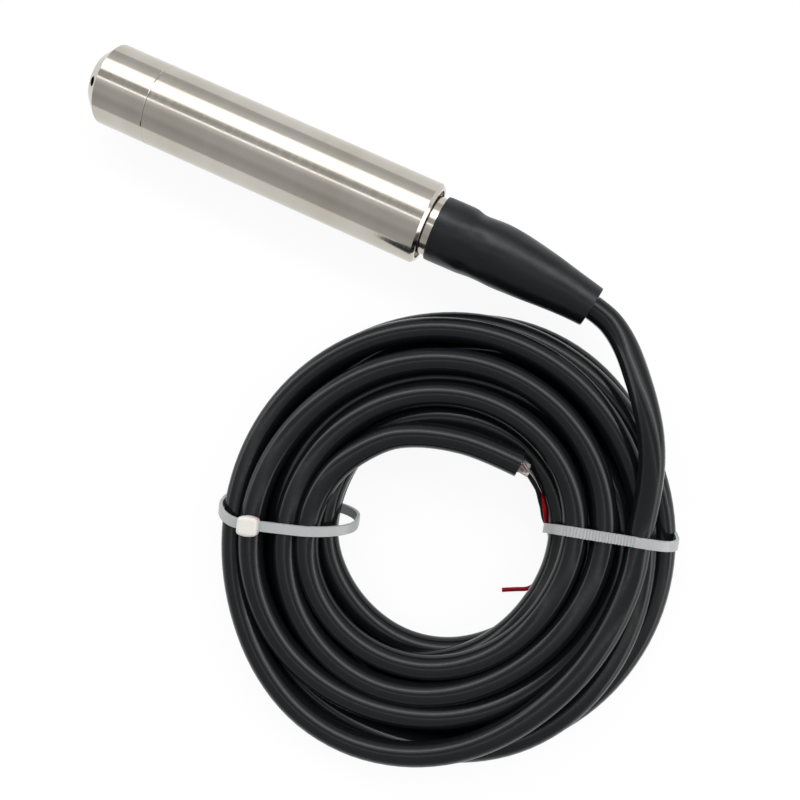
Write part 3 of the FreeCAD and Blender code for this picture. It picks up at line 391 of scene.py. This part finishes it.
def turned_rings_group():
    """Fine rings round the probe's axis, as turning and grinding leave them, from 0 to 1."""
    name = "Turned Rings"
    if name in bpy.data.node_groups:
        return bpy.data.node_groups[name]
    group, given, result = shader_group(name, (("Along", 450.0), ("Across", 14.0)), "Mask")
    place = group.nodes.new("ShaderNodeTexCoord")
    stretch = group.nodes.new("ShaderNodeCombineXYZ")
    scaled = group.nodes.new("ShaderNodeVectorMath")
    scaled.operation = "MULTIPLY"
    pattern = group.nodes.new("ShaderNodeTexNoise")
    pattern.inputs["Scale"].default_value = 1.0
    pattern.inputs["Detail"].default_value = 4.0
    group.links.new(given.outputs["Along"], stretch.inputs["X"])
    group.links.new(given.outputs["Across"], stretch.inputs["Y"])
    group.links.new(given.outputs["Across"], stretch.inputs["Z"])
    group.links.new(place.outputs["Object"], scaled.inputs[0])
    group.links.new(stretch.outputs["Vector"], scaled.inputs[1])
    group.links.new(scaled.outputs["Vector"], pattern.inputs["Vector"])
    group.links.new(pattern.outputs["Fac"], result.inputs["Mask"])
    return group


def pattern_node(tree, group, **values):
    """Places a shader group in a material with its own values, and gives its mask."""
    node = tree.nodes.new("ShaderNodeGroup")
    node.node_tree = group
    for label, number in values.items():
        node.inputs[label].default_value = number
    return node.outputs["Mask"]


def ranged(tree, mask, low, high):
    """A mask spread from low to high."""
    node = tree.nodes.new("ShaderNodeMapRange")
    node.inputs["From Min"].default_value = MASK_LOW
    node.inputs["From Max"].default_value = MASK_HIGH
    node.inputs["To Min"].default_value = low
    node.inputs["To Max"].default_value = high
    tree.links.new(mask, node.inputs["Value"])
    return node.outputs["Result"]


def tinted(tree, mask, first, second):
    """A colour that goes from first to second with a mask."""
    node = tree.nodes.new("ShaderNodeMix")
    node.data_type = "RGBA"
    node.inputs["A"].default_value = (*first, 1)
    node.inputs["B"].default_value = (*second, 1)
    tree.links.new(mask, node.inputs["Factor"])
    return node.outputs["Result"]


def bumped(tree, shader, height, strength, distance):
    """Raises the surface by a height."""
    node = tree.nodes.new("ShaderNodeBump")
    node.inputs["Strength"].default_value = strength
    node.inputs["Distance"].default_value = distance
    tree.links.new(height, node.inputs["Height"])
    tree.links.new(node.outputs["Normal"], shader.inputs["Normal"])


def calculated(tree, operation, first, second):
    """The result of a math node on a socket and another socket or a number."""
    node = tree.nodes.new("ShaderNodeMath")
    node.operation = operation
    tree.links.new(first, node.inputs[0])
    if isinstance(second, bpy.types.NodeSocket):
        tree.links.new(second, node.inputs[1])
    else:
        node.inputs[1].default_value = second
    return node.outputs["Value"]


def material(name):
    """A new material with its node tree and its Principled shader."""
    made = bpy.data.materials.new(name)
    made.use_nodes = True
    return made, made.node_tree, made.node_tree.nodes["Principled BSDF"]


def grained(name, colour, shade=0.7, rough=(0.4, 0.5), scale=500.0, bump=0.1, metallic=0.0, **sockets):
    """A material with a fine grain in its colour, gloss and surface."""
    made, tree, shader = material(name)
    mask = pattern_node(tree, grain_group(), Scale=scale)
    deep = [part * shade for part in colour]
    tree.links.new(tinted(tree, ranged(tree, mask, 0.0, 1.0), colour, deep), shader.inputs["Base Color"])
    tree.links.new(ranged(tree, mask, *rough), shader.inputs["Roughness"])
    bumped(tree, shader, mask, bump, GRAIN_DEPTH)
    shader.inputs["Metallic"].default_value = metallic
    for label, number in sockets.items():
        shader.inputs[label.replace("_", " ")].default_value = number
    return made


def steel(name, colour):
    """Satin-polished steel with faint rings round the probe."""
    made, tree, shader = material(name)
    rings = pattern_node(tree, turned_rings_group(), **STEEL_RINGS)
    bands = pattern_node(tree, turned_rings_group(), **STEEL_BANDS)
    deep = [part * share for part, share in zip(colour, STEEL_DEEPER)]
    tree.links.new(tinted(tree, ranged(tree, bands, 0.0, 1.0), colour, deep), shader.inputs["Base Color"])
    tree.links.new(ranged(tree, rings, *STEEL_ROUGH), shader.inputs["Roughness"])
    shader.inputs["Metallic"].default_value = 1.0
    bumped(tree, shader, rings, RING_BUMP, RING_DEPTH)
    return made


def dress(name, finish):
    """Gives a CAD node's object one material."""
    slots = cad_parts[name].data.materials
    slots.clear()
    slots.append(finish)


# Shapes that several pieces share


def behind_rear(route):
    """A route's points in metres, in the part's frame."""
    return [Vector((REAR_X + x * MM, y * MM, z * MM)) for x, y, z in route]


def wound(bearing):
    """Radius and height of the cable at a bearing of the winding, smooth through the marks."""
    index = next(i for i in range(1, len(WINDING) - 2) if WINDING[i + 1][0] <= bearing)
    before, start, end, after = WINDING[index - 1:index + 3]
    span = end[0] - start[0]
    share = (bearing - start[0]) / span
    found = []
    for column in (1, 2):
        leaving = (end[column] - before[column]) / (end[0] - before[0]) * span
        arriving = (after[column] - start[column]) / (after[0] - start[0]) * span
        rise = end[column] - start[column]
        bend = 3 * rise - 2 * leaving - arriving
        twist = leaving + arriving - 2 * rise
        found.append(start[column] + share * (leaving + share * (bend + share * twist)))
    return found


def coil_points():
    """Points of the coil's turns, set out a little so that the spline runs through the marks."""
    step = 360 / POINTS_PER_TURN
    reach = MM / math.cos(math.radians(step / 2))
    points = []
    for index in range(int((FIRST_BEARING - LAST_BEARING) / step) + 1):
        bearing = FIRST_BEARING - index * step
        radius, height = wound(bearing)
        angle = math.radians(bearing)
        points.append(Vector((
            COIL_CENTRE.x + radius * reach * math.cos(angle),
            COIL_CENTRE.y + radius * reach * math.sin(angle),
            height * MM,
        )))
    return points


def add_piece(name, data, finish):
    """Links a finished piece into the scene, on the probe, with its material."""
    piece = bpy.data.objects.new(name, data)
    bpy.context.scene.collection.objects.link(piece)
    data.materials.append(finish)
    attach(piece, BODY)
    return piece


def cord_piece(name, points, diameter, finish, smoothness):
    """A round cord along one open NURBS spline."""
    curve = bpy.data.curves.new(name, "CURVE")
    curve.dimensions = "3D"
    curve.bevel_depth = diameter / 2
    curve.bevel_resolution = CORD_ROUNDNESS
    curve.resolution_u = smoothness
    curve.use_fill_caps = True
    spline = curve.splines.new("NURBS")
    spline.points.add(len(points) - 1)
    for control, point in zip(spline.points, points):
        control.co = (*point, 1)
    spline.order_u = 3
    spline.use_endpoint_u = True
    return add_piece(name, curve, finish)


def mesh_piece(name, shape, finish, smooth=True):
    """A piece from a bmesh, with its faces pointing outwards."""
    bmesh.ops.recalc_face_normals(shape, faces=shape.faces)
    for face in shape.faces:
        face.smooth = smooth
    mesh = bpy.data.meshes.new(name)
    shape.to_mesh(mesh)
    shape.free()
    return add_piece(name, mesh, finish)


def sweep(shape, ring, places):
    """Extrudes a closed ring of edges from place to place, and gives the last ring."""
    for before, after in zip(places, places[1:]):
        grown = bmesh.ops.extrude_edge_only(shape, edges=ring)["geom"]
        corners = [part for part in grown if isinstance(part, bmesh.types.BMVert)]
        fresh = set(corners)
        ring = [part for part in grown if isinstance(part, bmesh.types.BMEdge) and fresh.issuperset(part.verts)]
        bmesh.ops.transform(shape, matrix=after @ before.inverted(), verts=corners)
    return ring


# Cable


def lay_cable():
    """The whole cable from the boot round the coil to its cut end, with the pieces that sit on it."""
    look = bpy.context.scene.sensor_cable
    jacket = grained("cable_jacket", look.jacket, shade=0.75, rough=(0.13, 0.2), scale=700.0, bump=0.015,
                     Specular_IOR_Level=0.26)
    points = behind_rear(LEAD_ROUTE) + coil_points() + behind_rear(TAIL_ROUTE)
    cable = cord_piece("cable", points, look.diameter, jacket, CABLE_STEPS)
    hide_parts("cable_lead", "cable_coil", "cable_tail")
    dress("cable_entry", jacket)
    measured(cable)


def lay_core_wires():
    """The red and the black core that come out of the cut end."""
    look = bpy.context.scene.sensor_cable
    cores = (
        ("core_wire_red", RED_WIRE_ROUTE, "wire_red", look.red_core),
        ("core_wire_black", BLACK_WIRE_ROUTE, "wire_black", look.black_core),
    )
    for node, route, slot, colour in cores:
        finish = grained(slot, colour, rough=(0.36, 0.46), bump=0.03, Specular_IOR_Level=0.12)
        points = behind_rear(route)
        wire = cord_piece(node + "_lay", points, look.core_diameter, finish, CORE_STEPS)
        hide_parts(node)
        measured(wire)
        dress("inner_" + slot, finish)


def weave_braid():
    """The braid at the cut end, drawn together and twisted round the vent tube."""
    look = bpy.context.scene.sensor_cable
    end, before = (Vector(point) for point in reversed(behind_rear(TAIL_ROUTE[-2:])))
    heading = (end - before).normalized()
    place = Matrix.Translation(end) @ heading.to_track_quat("Z", "Y").to_matrix().to_4x4()
    lift = place.to_3x3().inverted() @ Vector((0, 0, look.vent_lift))
    shape = bmesh.new()
    for index in range(look.braid_ends):
        reach = BRAID_REACH + BRAID_RAGGED * noise.noise((index * 1.7, 0.3, 0.5))
        places = []
        for step in range(BRAID_STEPS + 1):
            share = step / BRAID_STEPS
            drawn = share ** BRAID_CURVE
            around = math.tau * index / look.braid_ends + BRAID_TWIST * share
            wide = (BRAID_RADIUS - BRAID_NARROWS * drawn + BRAID_CROSSING * (index % 2)) * MM
            places.append(Matrix.Translation(lift * drawn) @ Matrix.Rotation(around, 4, "Z")
                          @ Matrix.Translation((wide, 0, (share * reach - BRAID_DEPTH) * MM)))
        wire = bmesh.ops.create_circle(shape, segments=STRAND_SIDES, radius=STRAND_RADIUS * MM, cap_ends=True)["verts"]
        bmesh.ops.transform(shape, matrix=places[0], verts=wire)
        edges = list({edge for corner in wire for edge in corner.link_edges})
        bmesh.ops.holes_fill(shape, edges=sweep(shape, edges, places), sides=STRAND_SIDES)
    bmesh.ops.transform(shape, matrix=place, verts=shape.verts)
    tinned = grained("braid", (0.29, 0.25, 0.235), rough=(0.35, 0.5), metallic=1.0, scale=1500.0)
    braid = mesh_piece("braid", shape, tinned)
    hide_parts("shield_braid")


def measured(cord):
    """Length of a cord's centreline, read from its spline without the bevel."""
    line = cord.data.copy()
    line.bevel_depth = 0
    probe = bpy.data.objects.new("line", line)
    mesh = bpy.data.meshes.new_from_object(probe)
    length = sum((mesh.vertices[a].co - mesh.vertices[b].co).length for a, b in (edge.vertices for edge in mesh.edges))
    bpy.data.objects.remove(probe)
    bpy.data.curves.remove(line)
    bpy.data.meshes.remove(mesh)
    return length


# Boot


def boot_place(distance, radius):
    """Place and size of a ring on the boot's axis, which is straight on the neck and then bends aside."""
    look = bpy.context.scene.sensor_boot
    start = Vector((BOOT_LOW.x, 0, AXIS_Z))
    angle = 0.0
    place = start + Vector((distance, 0, 0))
    if distance > look.straight:
        curve = (look.length - look.straight) / look.bend
        angle = (distance - look.straight) / curve
        place = start + Vector((look.straight + curve * math.sin(angle), -curve * (1 - math.cos(angle)), 0))
    facing = Matrix.Rotation(-angle, 4, "Z") @ Matrix.Rotation(math.radians(90), 4, "Y")
    return Matrix.Translation(place) @ facing @ Matrix.Diagonal((radius, radius, radius, 1))


def shape_boot():
    """The sleeve shrunk over the neck and down on to the cable."""
    look = bpy.context.scene.sensor_boot
    places, inside = ([boot_place(distance * MM, radius * MM) for distance, radius in outline]
                      for outline in (BOOT_OUTLINE, BOOT_INSIDE))
    shape = bmesh.new()
    circle = bmesh.ops.create_circle(shape, segments=BOOT_SIDES, radius=1, cap_ends=False)["verts"]
    bmesh.ops.transform(shape, matrix=places[0], verts=circle)
    mouth = list(shape.edges)
    end = sweep(shape, mouth, places)
    for corner in shape.verts:
        spread = corner.co - Vector((corner.co.x, 0, AXIS_Z))
        beyond = (corner.co.x - BOOT_LOW.x - look.straight) / WRINKLED_LENGTH
        wrinkle = noise.noise(corner.co * WRINKLES) * WRINKLE_HEIGHT * math.exp(-beyond * beyond)
        lump = noise.noise(corner.co * LUMPS) * LUMP_HEIGHT
        corner.co += spread.normalized() * (lump + wrinkle) * MM
    bmesh.ops.bridge_loops(shape, edges=mouth + sweep(shape, end, places[-1:] + inside))
    sleeve = grained("boot_sleeve", look.sleeve, shade=0.8, rough=(0.28, 0.44), scale=110.0, bump=1.0,
                     Specular_IOR_Level=0.34, Specular_Tint=(0.93, 0.98, 1.0, 1.0))
    boot = mesh_piece("boot", shape, sleeve)
    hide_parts("strain_relief_boot")
    smoothing = boot.modifiers.new("rounding", "SUBSURF")
    smoothing.levels = smoothing.render_levels = 1


# Ties


def tie_loop(low, high, half_height, rounding, reach, step):
    """Places along a rounded oblong with its low end drawn out: across and up, with the outward direction."""
    level = half_height - rounding
    corners = (
        (high - rounding, level, rounding), (low + reach, level, reach),
        (low + reach, -level, reach), (high - rounding, -level, rounding),
    )
    loop = []
    for index, (across, up, wide) in enumerate(corners):
        steps = math.pi / 2 * wide / step
        for part in range(int(steps) + 1):
            angle = math.pi / 2 * (index + part / steps)
            facing = math.atan2(math.sin(angle) / rounding, math.cos(angle) / wide)
            loop.append((across + wide * math.cos(angle), up + rounding * math.sin(angle), facing))
        ahead, rise, _ = corners[(index + 1) % 4]
        run = Vector((ahead - across, rise - up))
        angle = math.pi / 2 * (index + 1)
        start = Vector((across + wide * math.cos(angle), up + rounding * math.sin(angle)))
        for part in range(1, int(run.length / step)):
            place = start + run * (part / (run.length / step))
            loop.append((place.x, place.y, angle))
    return loop


def tie_frame(bearing, turn):
    """Place of a tie on the coil: its first direction across the bundle, its third up."""
    middle = (COIL_OUTER + INNER_RADIUS) / 2
    angle = math.radians(bearing)
    place = Vector((COIL_CENTRE.x + middle * math.cos(angle), COIL_CENTRE.y + middle * math.sin(angle), COIL_CENTRE.z))
    return Matrix.Translation(place) @ Matrix.Rotation(math.radians(bearing + turn), 4, "Z")


def tie_head(shape, place, size):
    """A rounded locking head, fuller in the middle than at its ends."""
    bmesh.ops.create_cube(shape, size=1)
    along = [edge for edge in shape.edges if abs(edge.verts[0].co.x - edge.verts[1].co.x) > 0.5]
    bmesh.ops.subdivide_edges(shape, edges=along, cuts=1)
    middle = [corner for corner in shape.verts if abs(corner.co.x) < 0.1]
    bmesh.ops.scale(shape, vec=(1, HEAD_FULLNESS, 1), verts=middle)
    bmesh.ops.transform(shape, matrix=place @ Matrix.Diagonal((*size, 1)), verts=shape.verts)
    bmesh.ops.bevel(shape, geom=list(shape.edges), offset=HEAD_ROUNDING, offset_type="OFFSET", segments=4,
                    profile=0.5, affect="EDGES", material=-1)


def strap_tie(tie, nylon):
    """One strap round the bundle with its ribs and its locking head."""
    look = bpy.context.scene.sensor_ties
    lean = math.radians(tie["lean"])
    half_span = (COIL_OUTER - INNER_RADIUS) / 2 / math.cos(math.radians(tie["turn"])) + look.gap
    half_height = (COIL_HEIGHT / 2 + look.gap) / math.cos(lean)
    upright = tie_frame(tie["bearing"], tie["turn"])
    slope = Matrix.Identity(4)
    slope[1][2], slope[2][2] = -math.sin(lean), math.cos(lean)
    places = []
    low, high = -half_span - tie["inner_slack"], half_span + tie["outer_slack"]
    loop = tie_loop(low, high, half_height, LOOP_ROUNDING + look.gap, tie["reach"] + look.gap, look.rib_pitch / 2)
    for index, (across, up, angle) in enumerate(loop):
        ribbed = up > half_height - RIBS_DOWN_TO and across < tie["ribs_to"]
        thick = look.thickness * (RIB_HOLLOW if ribbed and index % 2 else 1.0)
        inward = (high - across) / (high - low)
        aside = tie["twist"] * inward * (1 - up / half_height) / 2
        aside += tie["bow"] * (1 - inward) * (1 - (up / half_height) ** 2)
        places.append(upright @ slope @ Matrix.Translation((across, aside, up)) @ Matrix.Rotation(-angle, 4, "Y")
                      @ Matrix.Diagonal((thick, look.width, 1, 1)))
    shape = bmesh.new()
    thickness = shape.verts.layers.float.new("thickness")
    across, above = tie["head_across"], tie["head_above"]
    tie_head(shape, upright @ Matrix.Translation((across, -above * math.tan(lean), above)), tie["head_size"])
    for corner in shape.verts:
        corner[thickness] = 1.0
    section = bmesh.ops.create_grid(shape, x_segments=1, y_segments=1, size=0.5)["verts"]
    bmesh.ops.delete(shape, geom=list(section[0].link_faces), context="FACES_ONLY")
    bmesh.ops.transform(shape, matrix=places[0] @ Matrix.Translation((0.5, 0, 0)), verts=section)
    first = list({edge for corner in section for edge in corner.link_edges})
    last = sweep(shape, first, places)
    bmesh.ops.bridge_loops(shape, edges=first + last)
    strap = mesh_piece(tie["node"] + "_strap", shape, nylon, smooth=False)
    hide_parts(tie["node"])
    edge = strap.modifiers.new("edges", "BEVEL")
    edge.width = STRAP_EDGE
    edge.segments = 2
    edge.limit_method = "ANGLE"


def strap_ties():
    """Both ties, in nylon that looks paler where it is thick."""
    look = bpy.context.scene.sensor_ties
    nylon, tree, shader = material("tie_nylon")
    mask = pattern_node(tree, grain_group(), Scale=260.0)
    thick = tree.nodes.new("ShaderNodeAttribute")
    thick.attribute_name = "thickness"
    tree.links.new(tinted(tree, thick.outputs["Fac"], look.nylon, look.thick_nylon), shader.inputs["Base Color"])
    tree.links.new(ranged(tree, mask, 0.3, 0.42), shader.inputs["Roughness"])
    bumped(tree, shader, mask, 0.04, GRAIN_DEPTH)
    shader.inputs["Subsurface Weight"].default_value = 0.25
    shader.inputs["Subsurface Scale"].default_value = 0.6 * MM
    for tie in TIES:
        strap_tie(tie, nylon)


# Finishes of the CAD nodes


def finish_probe():
    """Steel of the cap, the tube, the plug and the steel pieces inside them."""
    stainless = steel("stainless", bpy.context.scene.sensor_probe.steel)
    for node in ("nose_cap", "housing_tube", "rear_plug", "capsule_body", "capsule_lock_ring", "capsule_diaphragm",
                 "capsule_vent_stub", "gland_washer", "gland_screw"):
        dress(node, stainless)


def wind_thread():
    """The cap's thread: one low ridge wound round the tube's spigot, from its front to the seal."""
    look = bpy.context.scene.sensor_probe
    pitch = look.thread_pitch
    start = TUBE_LOW.x + THREAD_INSET
    turns = int((CAP_SEAL_LOW.x - start) / pitch) - 1
    shape = bmesh.new()
    corners = []
    for step in range(RIDGE_STEPS + 1):
        rise = (look.thread_height + THREAD_FOOT) * math.sin(math.pi * step / RIDGE_STEPS) ** 2 - THREAD_FOOT
        along = start + RIDGE_SHARE * pitch * step / RIDGE_STEPS
        corners.append(shape.verts.new((along, 0, AXIS_Z + look.thread_root + rise)))
    for first, second in zip(corners, corners[1:] + corners[:1]):
        shape.edges.new((first, second))
    bmesh.ops.spin(shape, geom=list(shape.verts) + list(shape.edges), cent=(start, 0, AXIS_Z), axis=(1, 0, 0),
                   dvec=(pitch / TURN_STEPS, 0, 0), angle=math.tau * turns, steps=TURN_STEPS * turns, use_merge=False)
    bmesh.ops.holes_fill(shape, edges=[edge for edge in shape.edges if edge.is_boundary], sides=len(corners))
    mesh_piece("cap_thread", shape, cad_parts["housing_tube"].data.materials[0])


def finish_insides():
    """Seals, wires, carriers and the circuit board inside the tube."""
    rubber = grained("seal_rubber", (0.022, 0.022, 0.022), rough=(0.6, 0.75), scale=600.0)
    plastic = grained("carrier_plastic", (0.075, 0.075, 0.085), rough=(0.45, 0.6), scale=420.0)
    black_case = grained("component_black", (0.025, 0.025, 0.026), rough=(0.5, 0.65), scale=900.0)
    finishes = {
        rubber: ("cap_seal_ring", "capsule_seal_ring", "plug_seal_ring", "gland_grommet"),
        plastic: ("front_board_carrier", "rear_board_carrier"),
        black_case: ("transmitter_chip", "surge_diodes"),
        grained("contact_pin", (0.78, 0.58, 0.24), rough=(0.2, 0.3), metallic=1.0, bump=0.02): ("capsule_pins",),
        grained("lead_wire", (0.72, 0.69, 0.62), shade=0.9, rough=(0.35, 0.45)): ("capsule_leads",),
        grained("vent_plastic", (0.42, 0.39, 0.37), shade=0.9, rough=(0.3, 0.42)): ("vent_tube", "inner_vent_tube"),
        grained("board", (0.02, 0.13, 0.05), shade=0.8, rough=(0.3, 0.42), scale=300.0): ("circuit_board",),
        grained("capacitor_can", (0.68, 0.68, 0.69), rough=(0.25, 0.35), metallic=1.0): ("filter_capacitors",),
    }
    for finish, nodes in finishes.items():
        for node in nodes:
            dress(node, finish)


# Stage


def set_stage():
    """Floor, world and the camera at the photograph's angle."""
    look = bpy.context.scene.sensor_stage
    shape = bmesh.new()
    bmesh.ops.create_grid(shape, x_segments=1, y_segments=1, size=FLOOR_HALF)
    mesh = bpy.data.meshes.new("floor")
    shape.to_mesh(mesh)
    shape.free()
    floor = bpy.data.objects.new("floor", mesh)
    bpy.context.scene.collection.objects.link(floor)
    mesh.materials.append(floor_material(look.floor))
    set_world()
    camera = bpy.data.cameras.new("camera")
    camera.lens = look.lens
    camera.sensor_width = 36.0
    eye = bpy.data.objects.new("camera", camera)
    place, aim, up = (Vector(part) for part in (look.camera_place, look.camera_aim, look.camera_up))
    back = (place - aim).normalized()
    right = up.cross(back).normalized()
    turned = Matrix((right, back.cross(right), back)).transposed().to_4x4()
    eye.matrix_world = Matrix.Translation(place) @ turned
    bpy.context.scene.collection.objects.link(eye)
    bpy.context.scene.camera = eye
    bpy.context.scene.view_settings.view_transform = "Standard"


def floor_material(colour):
    """A pale floor that is white to the camera and in reflections, and keeps a soft shadow."""
    made, tree, shader = material("floor")
    shader.inputs["Base Color"].default_value = (*colour, 1)
    shader.inputs["Roughness"].default_value = 0.9
    glow = tree.nodes.new("ShaderNodeEmission")
    mixed = tree.nodes.new("ShaderNodeMixShader")
    rays = tree.nodes.new("ShaderNodeLightPath")
    either = calculated(tree, "MAXIMUM", rays.outputs["Is Camera Ray"], rays.outputs["Is Glossy Ray"])
    any_of = calculated(tree, "MAXIMUM", either, rays.outputs["Is Transmission Ray"])
    tree.links.new(calculated(tree, "MULTIPLY", any_of, FLOOR_GLOW), mixed.inputs["Fac"])
    tree.links.new(shader.outputs["BSDF"], mixed.inputs[1])
    tree.links.new(glow.outputs["Emission"], mixed.inputs[2])
    tree.links.new(mixed.outputs["Shader"], tree.nodes["Material Output"].inputs["Surface"])
    return made


def light_ramp(tree, value, reach, table):
    """Brightness by a table over a value that runs from minus reach to reach, as a share of the window's."""
    share = tree.nodes.new("ShaderNodeMapRange")
    share.inputs["From Min"].default_value = -reach
    share.inputs["From Max"].default_value = reach
    tree.links.new(value, share.inputs["Value"])
    ramp = tree.nodes.new("ShaderNodeValToRGB")
    tree.links.new(share.outputs["Result"], ramp.inputs["Fac"])
    stops = ramp.color_ramp.elements
    for place, _ in table[1:-1]:
        stops.new(0.5 + place / 2)
    for stop, (_, level) in zip(stops, table):
        stop.color = (level / bpy.context.scene.sensor_stage.window_level,) * 3 + (1,)
    return ramp.outputs["Color"]


def set_world():
    """A plain studio round the object: a window aside, a strip overhead, pale walls, white to the camera."""
    look = bpy.context.scene.sensor_stage
    world = bpy.data.worlds.new("studio")
    world.use_nodes = True
    bpy.context.scene.world = world
    tree = world.node_tree
    studio = tree.nodes["Background"]
    studio.inputs["Strength"].default_value = look.window_level
    place = tree.nodes.new("ShaderNodeTexCoord")
    parts = tree.nodes.new("ShaderNodeSeparateXYZ")
    tree.links.new(place.outputs["Generated"], parts.inputs["Vector"])
    turn = calculated(tree, "ARCTAN2", parts.outputs["Y"], parts.outputs["Z"])
    bands = light_ramp(tree, turn, math.pi, [(angle / 180, level) for angle, level in BANDS])
    walls = light_ramp(tree, parts.outputs["X"], 1.0, WALLS)
    paler = tree.nodes.new("ShaderNodeMix")
    paler.data_type = "RGBA"
    paler.blend_type = "LIGHTEN"
    paler.inputs["Factor"].default_value = 1.0
    tree.links.new(bands, paler.inputs["A"])
    tree.links.new(walls, paler.inputs["B"])
    tree.links.new(paler.outputs["Result"], studio.inputs["Color"])
    white = tree.nodes.new("ShaderNodeBackground")
    rays = tree.nodes.new("ShaderNodeLightPath")
    mixed = tree.nodes.new("ShaderNodeMixShader")
    white.inputs["Color"].default_value = (1, 1, 1, 1)
    tree.links.new(rays.outputs["Is Camera Ray"], mixed.inputs["Fac"])
    tree.links.new(studio.outputs["Background"], mixed.inputs[1])
    tree.links.new(white.outputs["Background"], mixed.inputs[2])
    tree.links.new(mixed.outputs["Shader"], tree.nodes["World Output"].inputs["Surface"])


# Operators


class SENSOR_OT_boot(bpy.types.Operator):
    """Shape the strain relief boot"""

    bl_idname = "sensor.boot"
    bl_label = "Shape Boot"

    def execute(self, context):
        shape_boot()
        return {"FINISHED"}


class SENSOR_OT_ties(bpy.types.Operator):
    """Put the ties round the coil"""

    bl_idname = "sensor.ties"
    bl_label = "Strap Ties"

    def execute(self, context):
        strap_ties()
        return {"FINISHED"}


class SENSOR_OT_braid(bpy.types.Operator):
    """Weave the stub of braid at the cut end"""

    bl_idname = "sensor.braid"
    bl_label = "Weave Braid"

    def execute(self, context):
        weave_braid()
        return {"FINISHED"}


class SENSOR_OT_cable(bpy.types.Operator):
    """Lay the cable in its coil"""

    bl_idname = "sensor.cable"
    bl_label = "Lay Cable"

    def execute(self, context):
        lay_cable()
        return {"FINISHED"}


class SENSOR_OT_cores(bpy.types.Operator):
    """Lay the cores that come out of the cut end"""

    bl_idname = "sensor.cores"
    bl_label = "Lay Cores"

    def execute(self, context):
        lay_core_wires()
        return {"FINISHED"}


class SENSOR_OT_probe(bpy.types.Operator):
    """Finish the steel of the probe"""

    bl_idname = "sensor.probe"
    bl_label = "Finish Probe"

    def execute(self, context):
        finish_probe()
        return {"FINISHED"}


class SENSOR_OT_thread(bpy.types.Operator):
    """Wind the cap's thread on the tube"""

    bl_idname = "sensor.thread"
    bl_label = "Wind Thread"

    def execute(self, context):
        wind_thread()
        return {"FINISHED"}


class SENSOR_OT_insides(bpy.types.Operator):
    """Finish the pieces inside the probe"""

    bl_idname = "sensor.insides"
    bl_label = "Finish Insides"

    def execute(self, context):
        finish_insides()
        return {"FINISHED"}


class SENSOR_OT_stage(bpy.types.Operator):
    """Set the floor, the light and the camera"""

    bl_idname = "sensor.stage"
    bl_label = "Set Stage"

    def execute(self, context):
        set_stage()
        return {"FINISHED"}


class SENSOR_PT_panel(bpy.types.Panel):
    """Lists the pieces of the sensor"""

    bl_label = "Level Sensor"
    bl_space_type = "VIEW_3D"
    bl_region_type = "UI"
    bl_category = "Level Sensor"

    def draw(self, context):
        for operator in OPERATORS:
            self.layout.operator(operator.bl_idname)


OPERATORS = (
    SENSOR_OT_stage, SENSOR_OT_boot, SENSOR_OT_ties, SENSOR_OT_braid, SENSOR_OT_cable, SENSOR_OT_cores,
    SENSOR_OT_probe, SENSOR_OT_thread, SENSOR_OT_insides,
)
LOOKS = {
    "sensor_probe": ProbeLook,
    "sensor_cable": CableLook,
    "sensor_boot": BootLook,
    "sensor_ties": TieLook,
    "sensor_stage": StageLook,
}


def register():
    """Registers the property groups, the operators and the panel."""
    for name, look in LOOKS.items():
        bpy.utils.register_class(look)
        setattr(bpy.types.Scene, name, PointerProperty(type=look))
    for operator in OPERATORS:
        bpy.utils.register_class(operator)
    bpy.utils.register_class(SENSOR_PT_panel)


def unregister():
    """Takes them out again."""
    bpy.utils.unregister_class(SENSOR_PT_panel)
    for operator in reversed(OPERATORS):
        bpy.utils.unregister_class(operator)
    for name, look in reversed(LOOKS.items()):
        delattr(bpy.types.Scene, name)
        bpy.utils.unregister_class(look)


def main():
    """Builds the whole scene."""
    register()
    bpy.ops.sensor.stage()
    bpy.ops.sensor.boot()
    bpy.ops.sensor.ties()
    bpy.ops.sensor.braid()
    bpy.ops.sensor.cable()
    bpy.ops.sensor.cores()
    bpy.ops.sensor.probe()
    bpy.ops.sensor.thread()
    bpy.ops.sensor.insides()


if __name__ == "__main__":
    main()
